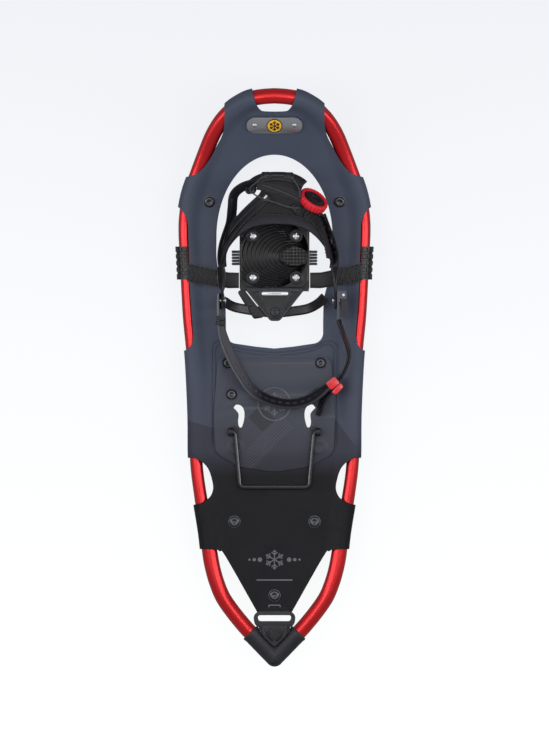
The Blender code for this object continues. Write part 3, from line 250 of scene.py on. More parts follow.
def deck_paint(name):
    """Coated sheet: slate at the toe, black at the tail, with sloping print edges at the sides."""
    n = Nodes(name, 0.5)
    x, y = n.axes()[:2]
    cloud = n.noise(9.0, 4.0)
    slate = n.mix(cloud, srgb("454b5b"), srgb("505668"))
    slate = n.mix(n.ramp(y, 0.0, 1.0, 0.0, -0.10), slate, n.mix(cloud, srgb("40414f"), srgb("494a5a")))
    black = n.mix(cloud, srgb("0f0e12"), srgb("151419"))
    # slate ends in a soft edge across the middle, and in a sharp sloping edge on each side
    soft = n.ramp(y, 0.0, 1.0, -0.062, -0.104)
    right = n.math("ADD", n.math("ADD", y, 0.035), n.times(n.math("SUBTRACT", x, 0.058), 1.34))
    right = n.times(n.math("LESS_THAN", right, 0.0), n.math("GREATER_THAN", x, 0.050))
    left = n.math("ADD", n.math("ADD", y, 0.046), n.times(n.math("ADD", x, 0.088), 0.30))
    left = n.times(n.math("LESS_THAN", left, 0.0), n.math("LESS_THAN", x, -0.064))
    sides = n.times(n.math("MAXIMUM", left, right), 0.38)
    tail = n.math("MAXIMUM", n.times(soft, 1.0, True), sides, True)
    base = n.mix(tail, slate, black)
    fleck = n.ramp(n.noise(2200.0, 2.0, 0.6), 0.0, 1.0, 0.62, 0.8)
    base = n.mix(n.times(fleck, 0.06, True), base, srgb("7a7e88"))
    n.tint(base)
    n.put(n.ramp(n.noise(35.0, 4.0), 0.46, 0.58, 0.3, 0.7), n.bsdf.inputs["Roughness"])
    n.bump(n.noise(1400.0, 3.0, 0.6), 0.2)
    n.set(Specular_IOR_Level=0.2)
    return n.mat


def heel_paint():
    """Heel pad: same colours, a band of fine rising lines behind the crest and a darker block."""
    n = Nodes("heel_pad_print", 0.5)
    x, y = n.axes()[:2]
    across = n.math("SUBTRACT", n.times(x, 0.70), n.times(y, 0.714))   # across the lines
    along = n.math("ADD", n.times(x, 0.714), n.times(y, 0.70))
    lines = n.math("SINE", n.times(across, 2 * pi / 0.0026))
    lines = n.times(n.ramp(lines, 0.0, 1.0, 0.35, 0.75), 1.0, True)
    band = n.times(n.math("GREATER_THAN", across, 0.032), n.math("LESS_THAN", across, 0.0525))
    band = n.times(band, n.math("LESS_THAN", along, -0.022))
    second = n.times(n.math("GREATER_THAN", across, -0.016), n.math("LESS_THAN", across, 0.004))
    second = n.times(n.times(second, n.math("LESS_THAN", along, -0.052)), 0.35)
    hatch = n.times(lines, n.math("MAXIMUM", band, second))
    cloud = n.noise(9.0, 4.0)
    slate = n.mix(cloud, srgb("3c404c"), srgb("444956"))
    low = n.mix(cloud, srgb("292833"), srgb("302f3b"))
    base = n.mix(n.ramp(y, 0.0, 1.0, -0.02, -0.10), slate, low)
    block = n.times(n.math("GREATER_THAN", across, 0.010), n.math("LESS_THAN", across, 0.032))
    block = n.times(block, n.math("GREATER_THAN", along, -0.049))
    block = n.times(block, n.math("LESS_THAN", along, -0.030))
    base = n.mix(n.times(block, 0.6), base, srgb("1d1c22"))
    base = n.mix(n.times(hatch, 0.30), base, srgb("6c6f7a"))
    base = n.mix(n.times(n.edge(0.52, 0.66), 0.4), base, srgb("6a6e79"))
    n.tint(base)
    n.put(n.ramp(n.noise(35.0, 4.0), 0.44, 0.56, 0.3, 0.7), n.bsdf.inputs["Roughness"])
    height = n.math("ADD", n.times(n.noise(1400.0, 3.0, 0.6), 0.25), hatch)
    n.bump(height, 0.3)
    n.set(Specular_IOR_Level=0.35)
    return n.mat


def woven(name, color, scale=0.0016):
    """Webbing: crossed threads from two sine waves, fuzzy edge colour."""
    n = Nodes(name, 0.75)
    x, y, z = n.axes()
    a = n.math("SINE", n.times(n.math("ADD", x, y), 2 * pi / scale))
    b = n.math("SINE", n.times(n.math("SUBTRACT", y, n.math("ADD", x, z)), 2 * pi / scale))
    threads = n.times(a, b)
    base = n.mix(n.ramp(threads, 0.0, 1.0, -1.0, 1.0), tuple(c * 0.6 for c in color),
            tuple(c * 1.5 for c in color))
    n.tint(base)
    n.bump(threads, 0.3, 0.0003)
    n.set(Sheen_Weight=0.3)
    return n.mat


def strap_paint():
    """Heel strap: grey painted sheen on its left run, nearly black behind the heel."""
    n = Nodes("heel_strap_paint", 0.36)
    x = n.axes()[0]
    cloud = n.noise(60.0, 4.0)
    grey = n.mix(cloud, srgb("4b4b52"), srgb("5d5d64"))
    dark = n.mix(cloud, srgb("121015"), srgb("1d1a20"))
    # painted sheen: grey on the left run, fading to the strap's near-black colour behind the heel
    base = n.mix(n.ramp(x, 0.0, 1.0, -0.034, -0.012), grey, dark)
    base = n.mix(n.times(n.edge(0.51, 0.6), 0.5), base, srgb("77777e"))
    n.tint(base)
    n.bump(n.noise(1500.0, 2.0), 0.15)
    return n.mat


RED = anodised()
HEELSTRAP = strap_paint()
DECK = deck_paint("deck_sheet_print")
HEEL = heel_paint()
BLACK = plastic("black_moulded", srgb("0f0e12"), 0.36)
CAP = plastic("cap_moulded", srgb("2a292f"), 0.5, bump=0.35)
SATIN = plastic("black_satin", srgb("141318"), 0.28, bump=0.15)
RUBBER = plastic("black_rubber", srgb("0e0d11"), 0.42, 1500.0, 0.35)
PAD = plastic("pad_rubber", srgb("08070b"), 0.3, 1500.0, 0.1, wear=2.6)
STRAP = plastic("strap_rubber", srgb("121116"), 0.3, 1500.0, 0.15, wear=3.5)
WRAP = plastic("wrap_soft", srgb("100f14"), 0.5, 1100.0, 0.5, wear=1.8, variation=0.35)
LIP = plastic("lip_foam", srgb("1d1b23"), 0.58, 700.0, 0.5, variation=0.2)
GREY = plastic("grey_moulded", srgb("2c2d34"), 0.4)
REDPLASTIC = plastic("red_moulded", srgb("e0222c"), 0.32, 800.0, 0.15, wear=1.2, variation=0.12, coat=0.4)
DIALRED = plastic("red_grip", srgb("dc1f2d"), 0.42, 1200.0, 0.3, wear=1.2, variation=0.12)
STEEL = metal("bright_steel", (0.46, 0.47, 0.50), 0.22)
SILVER = metal("badge_silver", (0.62, 0.63, 0.66), 0.3, (1, 30, 1), 160.0)
CLAW = metal("claw_steel", (0.17, 0.175, 0.19), 0.38, (1, 1, 8), 90.0, wear=2.4)
BUCKLE = plastic("buckle_grey", srgb("3a3a44"), 0.34, wear=1.8, coat=0.2)
RIVET = metal("rivet_black", (0.075, 0.077, 0.085), 0.38, (1, 1, 1), 220.0, wear=2.6)
WIRE = plastic("wire_coat", srgb("26262b"), 0.28, 900.0, 0.1, wear=1.6, coat=0.5)
YELLOW = plastic("badge_yellow", srgb("efb52a"), 0.35, 900.0, 0.1, wear=1.1, variation=0.08, coat=0.3)
INK = plastic("print_grey", srgb("66656d"), 0.55, 1400.0, 0.15, wear=1.1)
CORD = woven("lace_cord", srgb("34343c"), 0.0011)
WEB = woven("webbing_black", srgb("1c1b20"), 0.0018)


# ---------------------------------------------------------------- mesh helpers
def finish_mesh(mesh, name, mats, body, angle=40.0, replaces=()):
    obj = bpy.data.objects.new(name, mesh)
    bpy.context.scene.collection.objects.link(obj)
    mesh.materials.clear()
    for m in (mats if isinstance(mats, (list, tuple)) else [mats]):
        mesh.materials.append(m)
    mesh.shade_smooth()
    mesh.set_sharp_from_angle(angle=radians(angle))
    if body:
        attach(obj, body)
    if replaces:
        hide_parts(*replaces)
    return obj


def raw(verts, faces, name="m"):
    mesh = bpy.data.meshes.new(name)
    mesh.from_pydata([tuple(c * MM for c in v) for v in verts], [], faces)
    mesh.update()
    return mesh


def clean(mesh, dist=0.00001):
    bm = bmesh.new()
    bm.from_mesh(mesh)
    bmesh.ops.remove_doubles(bm, verts=bm.verts, dist=dist)
    bmesh.ops.recalc_face_normals(bm, faces=bm.faces)
    bm.to_mesh(mesh)
    bm.free()
    return mesh


def grid(rows, name="g", cyclic=False):
    width = len(rows[0])
    verts = [p for row in rows for p in row]
    faces = []
    for j in range(len(rows) - 1):
        for i in range(width - 1 + cyclic):
            a = j * width + i
            b = j * width + (i + 1) % width
            faces.append((a, b, b + width, a + width))
    return raw(verts, faces, name)


def baked(obj):
    """The object's evaluated mesh; the object is removed."""
    bpy.context.view_layer.update()
    deps = bpy.context.evaluated_depsgraph_get()
    mesh = bpy.data.meshes.new_from_object(obj.evaluated_get(deps))
    mesh.transform(obj.matrix_world)
    bpy.data.objects.remove(obj, do_unlink=True)
    return mesh


def temp(mesh, name="tmp"):
    obj = bpy.data.objects.new(name, mesh)
    bpy.context.scene.collection.objects.link(obj)
    return obj


def solid(mesh, thickness, offset=0.0, bevel=0.0, segments=2):
    """Thickened sheet with softened edges, as a mesh."""
    obj = temp(mesh)
    mod = obj.modifiers.new("t", "SOLIDIFY")
    mod.thickness = thickness * MM
    mod.offset = offset
    mod.use_even_offset = True
    if bevel:
        soften(obj, bevel, segments)
    return baked(obj)


def soften(obj, width, segments=2, angle=40.0):
    mod = obj.modifiers.new("soft", "BEVEL")
    mod.width = width * MM
    mod.segments = segments
    mod.limit_method = "ANGLE"
    mod.angle_limit = radians(angle)
    mod.use_clamp_overlap = True
    return mod


def beveled(mesh, width, segments=2, angle=40.0):
    obj = temp(mesh)
    soften(obj, width, segments, angle)
    return baked(obj)


def boolean(mesh, others, operation="DIFFERENCE"):
    obj = temp(mesh)
    tools = []
    for other in others:
        tool = temp(other, "tool")
        tools.append(tool)
        mod = obj.modifiers.new("b", "BOOLEAN")
        mod.operation = operation
        mod.solver = "EXACT"
        mod.object = tool
    out = baked(obj)
    for tool in tools:
        bpy.data.objects.remove(tool, do_unlink=True)
    return out


def joined(meshes):
    bm = bmesh.new()
    for mesh in meshes:
        bm.from_mesh(mesh)
    out = bpy.data.meshes.new("joined")
    bm.to_mesh(out)
    bm.free()
    return out


def plate(outlines, z0, z1, bevel=0.0, segments=2):
    curve = bpy.data.curves.new("plate", "CURVE")
    curve.dimensions = "2D"
    curve.fill_mode = "BOTH"
    curve.extrude = (z1 - z0) / 2 * MM
    for line in outlines:
        run = curve.splines.new("POLY")
        run.points.add(len(line) - 1)
        for point, p in zip(run.points, line):
            point.co = (p[0] * MM, p[1] * MM, 0.0, 1.0)
        run.use_cyclic_u = True
    mesh = clean(baked(temp(curve)))
    mesh.transform(Matrix.Translation((0, 0, (z0 + z1) / 2 * MM)))
    if bevel:
        mesh = beveled(mesh, bevel, segments)
    return mesh


def rod(points, radius, sides=12, cyclic=False, scale=(1, 1)):
    """Round or oval rod along a path."""
    pts = [Vector(p) for p in points]
    n = len(pts)
    rows = []
    up = Vector((0, 0, 1))
    for k, p in enumerate(pts):
        a = pts[(k - 1) % n] if cyclic else pts[max(k - 1, 0)]
        b = pts[(k + 1) % n] if cyclic else pts[min(k + 1, n - 1)]
        t = (b - a).normalized()
        side = t.cross(up)
        if side.length < 0.05:
            side = t.cross(Vector((0, 1, 0)))
        side.normalize()
        top = side.cross(t)
        r = radius[k] if isinstance(radius, (list, tuple)) else radius
        rows.append([tuple(p + side * (r * scale[0] * cos(q)) + top * (r * scale[1] * sin(q)))
                     for q in (2 * pi * i / sides for i in range(sides))])
    if cyclic:
        rows.append(rows[0])
    mesh = grid(rows, "rod", True)
    if not cyclic:
        bm = bmesh.new()
        bm.from_mesh(mesh)
        bm.verts.ensure_lookup_table()
        bm.faces.new([bm.verts[i] for i in range(sides)])
        bm.faces.new([bm.verts[len(bm.verts) - sides + i] for i in reversed(range(sides))])
        bm.to_mesh(mesh)
        bm.free()
    return clean(mesh)


def lathe(profile, steps=32):
    rows = []
    for k in range(steps):
        a = 2 * pi * k / steps
        rows.append([(r * cos(a), r * sin(a), z) for r, z in profile])
    rows.append(rows[0])
    return clean(grid(rows, "lathe"))


def arc(cx, cy, r, a0, a1, n):
    return [(cx + r * cos(radians(a0 + (a1 - a0) * k / n)),
             cy + r * sin(radians(a0 + (a1 - a0) * k / n))) for k in range(n + 1)]


def circle(cx, cy, r, n=24):
    return arc(cx, cy, r, 0, 360 - 360 / n, n - 1)


def rounded(points, radius, n=5):
    out = []
    count = len(points)
    for k in range(count):
        r = radius[k] if isinstance(radius, (list, tuple)) else radius
        p = Vector(points[k])
        a = Vector(points[k - 1]) - p
        b = Vector(points[(k + 1) % count]) - p
        if r <= 0.0:
            out.append((p.x, p.y))
            continue
        half = a.angle(b) / 2
        run = min(r / tan(half), a.length * 0.49, b.length * 0.49)
        rad = run * tan(half)
        start, end = p + a.normalized() * run, p + b.normalized() * run
        centre = p + (a.normalized() + b.normalized()).normalized() * (rad / sin(half))
        s = start - centre
        turn = s.angle_signed(end - centre)
        for j in range(n + 1):
            q = s.copy()
            q.rotate(Matrix.Rotation(-turn * j / n, 2))
            out.append(tuple(centre + q))
    return out


def spline(points, per=6):
    pts = [Vector(p) for p in points]
    ends = [pts[0] * 2 - pts[1]] + pts + [pts[-1] * 2 - pts[-2]]
    out = []
    for k in range(1, len(ends) - 2):
        p0, p1, p2, p3 = ends[k - 1], ends[k], ends[k + 1], ends[k + 2]
        for j in range(per):
            t = j / per
            a = p1 * 2 + (p2 - p0) * t
            b = (p0 * 2 - p1 * 5 + p2 * 4 - p3) * t * t
            c = (p1 * 3 - p0 - p2 * 3 + p3) * t * t * t
            out.append((a + b + c) / 2)
    out.append(pts[-1])
    return out


def curve(points, per=6):
    """Smooth plan line as plain tuples."""
    return [tuple(p) for p in spline(points, per)]


def box(half_x, half_y, radius, n=5):
    """Rounded rectangle round the origin."""
    return rounded([(-half_x, -half_y), (half_x, -half_y), (half_x, half_y), (-half_x, half_y)], radius, n)


def along(line, k):
    """Direction of the line at point k, not normalised."""
    return line[min(k + 1, len(line) - 1)] - line[max(k - 1, 0)]


def lying_on(point, normal, turn=0.0):
    """Matrix that puts a flat piece on a surface point."""
    upright = Vector((0, 0, 1)).rotation_difference(normal).to_matrix().to_4x4()
    return Matrix.Translation(point * MM) @ upright @ Matrix.Rotation(turn, 4, "Z")


def flip(points):
    return [(-x, y) for x, y in reversed(points)]


def ribbon(line, width, thick, lean=0.0, bevel=0.5, across=6):
    """Band along a 3D line. Upright by default (width in Z), lean in radians or a function of 0..1."""
    n = len(line) - 1
    rows = []
    for k, p in enumerate(line):
        t = k / n
        q = along(line, k)
        out = Vector((q.y, -q.x, 0.0)).normalized()
        a = lean(t) if callable(lean) else lean
        w = width(t) if callable(width) else width
        e = out * sin(a) + Vector((0, 0, cos(a)))
        rows.append([tuple(p + e * (w * (2 * i / across - 1) / 2)) for i in range(across + 1)])
    return solid(grid(rows), thick, 0.0, bevel)


# ---------------------------------------------------------------- shoe surface
def lift(y, h):
    if y <= BEND_Y:
        return TUBE_Z + h
    s = min((y - BEND_Y) / (BEND_R - h), 0.95)
    return TUBE_Z + BEND_R - (BEND_R - h) * sqrt(1 - s * s)


def toe_angle(y):
    return degrees(asin(max(0.0, (y - BEND_Y) / BEND_R)))


def shape_point(y, h):
    a = radians(toe_angle(y))
    return y - h * sin(a), lift(y, 0.0) + h * cos(a)


def centre_line(per):
    pts = spline(HALF_LINE, per)
    out = []
    for k, p in enumerate(pts):
        a, b = pts[max(k - 1, 0)], pts[min(k + 1, len(pts) - 1)]
        t = Vector((1.0, 0.0)) if k == 0 else (b - a).normalized()
        slope = radians(toe_angle(p.y))
        out.append((p, Vector((-t.y / cos(slope), t.x * cos(slope),
                               t.x * sin(slope))).normalized()))
    return out


def sheet_height(d):
    if d >= FALL_D:
        return SHEET_H
    return SHEET_H + (WRAP_R - 0.1 - SHEET_H) * (0.5 + 0.5 * cos(pi * d / FALL_D))


def flap_height(d):
    low, high = -WRAP_R, SHEET_H - SHEET_T - 0.5
    return high if d >= 26.0 else low + (high - low) * (0.5 - 0.5 * cos(pi * d / 26.0))


def make_tube():
    half = spline(TUBE_LINE, 5)
    path = [Vector((-p.x, p.y, p.z)) for p in reversed(half)] + half[1:]
    width = [p.z for p in path]
    path = [Vector((p.x, p.y, lift(p.y, 0.0))) for p in path]
    rows = []
    for k, p in enumerate(path):
        t = along(path, k).normalized()
        side = t.cross(Vector((0, 0, 1))).normalized()
        up = side.cross(t)
        around = [pi * j / 14 for j in range(29)]
        rows.append([tuple(p + side * (width[k] * cos(a)) + up * (TUBE_R * sin(a))) for a in around])
    finish_mesh(clean(grid(rows)), "tube_red", RED, "frame", replaces=("frame_tube",))


def deck_mesh():
    rows = []
    stations = centre_line(4)
    outs = [out for p, out in stations]
    for _ in range(10):
        outs = [outs[0]] + [(outs[k - 1] + outs[k] * 2 + outs[k + 1]).normalized()
                            for k in range(1, len(outs) - 1)] + [outs[-1]]
    for (p, _), out in zip(stations, outs):
        if p.y < -247.0:
            break
        spine = p.y if p.y < BEND_Y else BEND_Y + (p.y - BEND_Y) * 0.5
        if p.y < -235.0:
            spine = p.y - 0.8 * (-235.0 - p.y)
        inner = Vector((0.0, spine))
        inward = (inner - p).normalized()
        side = Vector((out.x, out.y))
        flap = 30.0 if 150.0 < p.y < 240.0 else 42.0
        slope = radians(toe_angle(p.y))
        up = Vector((0.0, -sin(slope), cos(slope)))
        centre = Vector((p.x, p.y, lift(p.y, 0.0)))
        reach = (inner - p).length
        row = []
        for d in (reach, 30.0 + (reach - 30.0) * 0.5, 30.0):
            q = p + inward * d
            row.append((q.x, *shape_point(q.y, sheet_height(d))))
        for d in (22.0, 17.0, 14.0, 11.0, 8.0, 5.0, 2.5):
            q = p - side * d
            row.append((q.x, *shape_point(q.y, sheet_height(d))))
        for k in range(13):
            a = radians(90.0 - 15.0 * k)
            row.append(tuple(centre + out * (WRAP_R * cos(a)) + up * (WRAP_R * sin(a))))
        for d in (4.0, 8.0, 13.0, 17.0, 21.0, 26.0, flap):
            q = p - side * d
            row.append((q.x, *shape_point(q.y, flap_height(d))))
        rows.append(row)
    mesh = grid(rows)
    obj = temp(mesh)
    mirror = obj.modifiers.new("m", "MIRROR")
    mirror.use_clip = True
    mirror.merge_threshold = 0.0001
    thick = obj.modifiers.new("t", "SOLIDIFY")
    thick.thickness = SHEET_T * MM
    thick.offset = 0.0
    return clean(baked(obj))


def smooth_part(run, rest):
    return curve(run, 4) + rest


SIDE_WINDOW = smooth_part([(-53, 300), (-53, 284), (-53, 270), (-55, 258), (-61.5, 245), (-69, 231),
                           (-79.5, 218.5),
                           (-90, 214), (-104, 211.5)], [(-120, 209), (-120, 325), (-53, 325)])
RECESS = smooth_part([(-108, 183.5), (-102.5, 181.5), (-97, 176), (-92.3, 166), (-91.2, 146), (-89.7, 95),
                      (-87.2, 60), (-86.2, 46), (-87.2, 38), (-92, 31), (-99, 28.5), (-108, 28)],
                     [(-120, 28), (-120, 184)])
LOWER_WINDOW = smooth_part([(-104, -84.2), (-91, -84.6), (-80.5, -86.5), (-71, -95), (-66.3, -108),
                            (-65.4, -119),
                            (-71, -128.5), (-85, -134.3), (-104, -135)], [(-120, -135), (-120, -84)])
TAIL_SIDE = curve([(-104, -181.5), (-66, -181.5), (-58, -183.8), (-52, -189), (-18.5, -248)], 4)
TAIL_WINDOW = TAIL_SIDE + [(-16.5, -249.6), (16.5, -249.6)] + flip(TAIL_SIDE) + [(120, -181.5), (120, -310),
                                                                                (-120, -310), (-120, -181.5)]
HEEL_SLOT = curve([(-43.4, -31.5), (-40.5, -28.2), (-35.5, -29.3), (-32.4, -34), (-32.0, -42),
                                       (-34.5, -51.5), (-37.5, -51.5), (-38.6, -46), (-38.0, -38.5),
                                       (-40.5, -34.4), (-43.4, -31.5)], 4)[:-1]


def opening_outline():
    out = [(61.5 * cos(pi * k / 64), BEND_Y + 86.5 * sin(pi * k / 64)) for k in range(65)]
    left = curve([(-61.5, 150), (-61.3, 126), (-57.5, 105), (-52.5, 84), (-51.5, 60)])[1:]
    left += arc(-40.0, 48.0, 11.5, 180, 257, 8)
    left += [(-20, 33.4), (0.0, 31.4)]
    return out + left + flip(left[:-1])


def make_deck():
    mesh = deck_mesh()
    tools = []
    for line in (SIDE_WINDOW, RECESS, LOWER_WINDOW, HEEL_SLOT):
        tools.append(plate([line], 5.0, 140.0))
        tools.append(plate([flip(line)], 5.0, 140.0))
    tools.append(plate([TAIL_WINDOW], 5.0, 140.0))
    notch = curve([(-24.5, 312), (-22.5, 300), (-19.5, 290), (-15, 283.6), (-9, 282), (9, 282),
                                       (15, 283.6), (19.5, 290), (22.5, 300), (24.5, 312)], 4)
    tools.append(plate([notch + [(24.5, 330), (-24.5, 330)]], 5.0, 150.0))
    tools.append(plate([opening_outline()], 5.0, 140.0))
    mesh = boolean(mesh, [joined(tools)])
    bare = [(-118, 40), (-30, 40), (-30, 172), (-118, 172)]
    under = TUBE_Z + SHEET_H - SHEET_T / 2 - 0.25
    mesh = boolean(mesh, [joined([plate([bare], 5.0, under), plate([flip(bare)], 5.0, under)])])
    finish_mesh(mesh, "deck_sheet", DECK, "frame", 35.0, ("deck",))


def make_cap():
    """V cap: two round sleeves that meet in a blunt point, raised rib, collars and a moulded dot."""
    tip = Vector((0.0, -296.5, TUBE_Z))
    parts = []
    for s in (-1, 1):
        start = Vector((s * 25.3, -270.3, TUBE_Z))
        d = (start - tip).normalized()
        path = [start + d * 1.0, start + d * 0.5, start - d * 0.5, start - d * 3.5,
                start + (tip - start) * 0.7, tip]
        parts.append(rod(path, [8.9, 9.8, 10.1, 9.6, 9.6, 9.5], 32))
    ball = [(9.6 * sin(pi * k / 10), 9.6 * cos(pi * k / 10)) for k in range(1, 10)]
    point = lathe([(0, 9.6)] + ball + [(0, -9.6)], 36)
    point.transform(Matrix.Translation(tip * MM))
    parts.append(point)
    parts.append(plate([rounded([(-17, -262.5), (17, -262.5), (15, -273), (4, -289), (-4, -289), (-15, -273)],
                                [2, 2, 4, 4, 4, 4])], 31.0, 41.4, 1.2, 3))
    parts.append(plate([rounded([(-13.4, -262.5), (13.4, -262.5), (12.2, -273.5), (0, -285.5),
                                (-12.2, -273.5)],
                                [2.5, 2.5, 4, 3, 4])], 40.6, 45.4, 1.4, 3))
    finish_mesh(joined(parts), "cap_body", CAP, "frame", 45.0, ("tail_cap",))
    flats = []
    for s in (-1, 1):
        flats.append(plate([rounded([(s * 1.2, -264.6), (s * 10.0, -264.6), (s * 9.0, -272.8),
                                    (s * 1.2, -281.2)],
                                    [0.8, 1.5, 2.0, 1.5])], 45.1, 46.0, 0.4))
    finish_mesh(joined(flats), "cap_facets", BLACK, "frame", 45.0)
    dot = lathe([(0, 0.5), (1.2, 0.4), (1.9, 0.0), (2.0, -1.2), (0, -1.2)], 20)
    dot.transform(Matrix.Translation((-0.0027, -0.3008, 0.0444)))
    finish_mesh(dot, "cap_dot", BLACK, "frame")


def rivet_head(name, x, y, z, body, node, mat=RIVET, r=5.4, ring=True, tilt=0.0, z_low=None):
    """Domed rivet with a rolled rim, a dimple and a pressed star."""
    profile = [(0.0, 1.15), (1.6, 1.2), (2.2, 1.75), (3.4, 1.95), (r * 0.80, 1.75), (r * 0.94, 1.2),
               (r, 0.55),
               (r * 0.98, 0.0), (2.2, -0.1)]
    if z_low is not None:
        d = z_low - z
        profile += [(2.2, d), (4.0, d), (4.1, d - 0.8), (3.4, d - 1.5), (0, d - 1.6)]
    mesh = lathe(profile, 28)
    parts = [mesh]
    if ring:
        parts.append(lathe([(r + 1.15, -0.15), (r + 0.95, 0.28), (r + 0.45, 0.34), (r + 0.25, -0.1)], 28))
    whole = joined(parts)
    whole.transform(Matrix.Translation((x * MM, y * MM, z * MM)) @ Matrix.Rotation(radians(tilt), 4, "X"))
    finish_mesh(whole, name, mat, body, 50.0, (node,))


def make_rivets():
    top = DECK_TOP
    for side, x in (("left", -69.0), ("right", 69.0)):
        y, z = shape_point(187.6, SHEET_H + SHEET_T / 2)
        rivet_head("rivet_shoulder_" + side, x, y, z + 0.2, "frame", "deck_rivet_front_" + side,
                   tilt=toe_angle(187),
                   z_low=34.6)
        rivet_head("rivet_rear_" + side, copysign(42.5, x), -152.3, top, "frame", "deck_rivet_tail_" + side,
                   z_low=36.8)
        rivet_head("rivet_heel_front_" + side, copysign(49.0, x), 16.0, top + 0.2, "frame",
                   "heel_rivet_front_" + side, r=5.2, ring=False, z_low=33.9)
        rivet_head("rivet_heel_rear_" + side, copysign(45.5, x), -17.5, top + 0.2, "frame",
                   "heel_rivet_rear_" + side, r=5.2, ring=False, z_low=33.9)
    rivet_head("rivet_tip", 0.0, -230.5, top, "frame", "deck_rivet_tip", z_low=38.9)


def snowflake(size, width):
    """Six plain arms with two twigs each, as thin bars in the XY plane."""
    bars = []

    def bar(ax, ay, bx, by):
        a, b = Vector((ax, ay)), Vector((bx, by))
        d = (b - a).normalized()
        s = Vector((-d.y, d.x)) * width / 2
        bars.append([tuple(a + s), tuple(a - s), tuple(b - s), tuple(b + s)])

    for k in range(6):
        a = radians(90 + 60 * k)
        c, s = cos(a), sin(a)
        bar(c * 0.0, s * 0.0, c * size, s * size)
        for t in (0.5, 0.75):
            for turn in (-1, 1):
                b = a + turn * radians(50)
                bar(c * size * t, s * size * t, c * size * t + cos(b) * size * (1 - t) * 0.8,
                    s * size * t + sin(b) * size * (1 - t) * 0.8)
    return bars


def bars_mesh(bars, z0, z1):
    return joined([plate([b], z0 + 0.01 * k, z1 + 0.01 * k) for k, b in enumerate(bars)])


def make_badge():
    """Brushed round-ended plate with a round yellow disc and a plain snow crystal."""
    py, pz = shape_point(BADGE_Y, SHEET_H + SHEET_T / 2 + BADGE_RISE)
    place = Matrix.Translation((0, py * MM, pz * MM)) @ Matrix.Rotation(radians(toe_angle(BADGE_Y)), 4, "X")
    rim = box(29.4, 9.9, 9.4, 10)
    base = plate([rim], -1.0, 1.1, 0.3)
    base.transform(place)
    finish_mesh(base, "badge_plate", SILVER, "frame", 40, ("toe_badge",))
    disc = plate([circle(0, 0, 7.4, 40)], 1.0, 1.7, 0.2)
    disc.transform(place)
    finish_mesh(disc, "badge_centre", YELLOW, "frame")
    ring = plate([circle(0, 0, 8.3, 40), circle(0, 0, 7.5, 40)], 1.0, 1.8, 0.15)
    flake = bars_mesh(snowflake(5.8, 0.8), 1.65, 1.95)
    dark = joined([ring, flake])
    dark.transform(place)
    finish_mesh(dark, "badge_crystal", BLACK, "frame")
    for side, s in SIDES:
        head = lathe([(0, 1.1), (1.2, 1.0), (2.1, 0.6), (2.5, 0.0), (2.4, -0.4)], 20)
        head.transform(place @ Matrix.Translation((s * 21 * MM, 0, 1.2 * MM)))
        finish_mesh(head, "badge_dome_" + side, SILVER, "frame", 50, ("badge_rivet_" + side,))


def make_print():
    """Plain printed marks on the tail: a snow crystal between two rows of dots, and a bar."""
    z = DECK_TOP
    cy = -192.5
    parts = []
    for s in (-1, 1):
        for x, r in ((15.5, 2.4), (21.5, 1.8), (26.5, 1.2)):
            parts.append(plate([circle(s * x, cy, r, 20)], z - 0.1, z + 0.10))
    flake = snowflake(10.5, 1.1)
    parts.append(bars_mesh([[(x, y + cy) for x, y in b] for b in flake], z - 0.1, z + 0.10))
    parts.append(plate([[(-19, -213.4), (19, -213.4), (19, -214.8), (-19, -214.8)]], z - 0.1, z + 0.10))
    parts.append(plate([rounded([(-6.5, -240.2), (6.5, -240.2), (6.5, -246.4), (-6.5, -246.4)], 1.2),
                        rounded([(-5.4, -241.3), (5.4, -241.3), (5.4, -245.3), (-5.4, -245.3)], 0.7)],
                       z - 0.1, z + 0.10))
    finish_mesh(joined(parts), "tail_print", INK, "frame")


def make_heel_plate():
    z0 = DECK_TOP + 0.15
    rim = rounded([(-60, 24), (60, 24), (64.3, -40), (62.5, -80), (36, -94), (0, -99.5), (-36, -94),
                   (-62.5, -80),
                   (-64.3, -40)], [12, 12, 60, 14, 40, 60, 40, 14, 60], 8)
    holes = [circle(x, y, 6.4) for x, y in ((-49, 16), (49, 16), (-45.5, -17.5), (45.5, -17.5))]
    mesh = plate([rim, HEEL_SLOT, flip(HEEL_SLOT)] + holes, z0, z0 + 2.5, 0.9, 3)
    finish_mesh(mesh, "heel_pad", HEEL, "frame", 50, ("heel_plate",))
    top = z0 + 2.5
    # a plain round crest: a ring with a snow crystal in it
    cy = -27.5
    parts = []
    parts.append(plate([circle(0, cy, 18.0, 48), circle(0, cy, 16.6, 48)], top - 0.3, top + 0.5, 0.12))
    parts.append(bars_mesh([[(x, y + cy) for x, y in b] for b in snowflake(12.5, 1.3)], top - 0.3, top + 0.4))
    finish_mesh(joined(parts), "heel_emboss", INK, "frame")
    for k, (w, y1, r) in enumerate(((66.5, 39.5, 8.0), (62.8, 36.2, 7.0))):
        line = [(-w, -70.0), (-w, y1 - r)] + arc(-w + r, y1 - r, r, 175, 100, 6) + [(-52.0, y1 - 1.2)]
        line += [(-44.0, y1 - 5.6), (-36.0, y1 - 8.2), (-20.0, y1 - 10.6), (0.0, y1 - 12.4)]
        line = line + flip(line[:-1])
        pts = [(x, y, z0 + 0.15) for x, y in line]
        finish_mesh(rod(pts, 0.7 - 0.2 * k, 8), "heel_rim_%d" % k, DECK, "frame", 60)
    discs = []
    for x in (-41.3, 47.3):
        ring = lathe([(0, -0.3), (9.0, -0.3), (9.6, 0.1), (9.2, 0.45), (6.4, 0.25), (5.6, 0.55),
                (4.8, 0.25), (0, 0.25)], 36)
        ring.transform(Matrix.Translation((x * MM, -0.073, top * MM)))
        discs.append(ring)
    finish_mesh(joined(discs), "heel_discs", HEEL, "frame", 50)


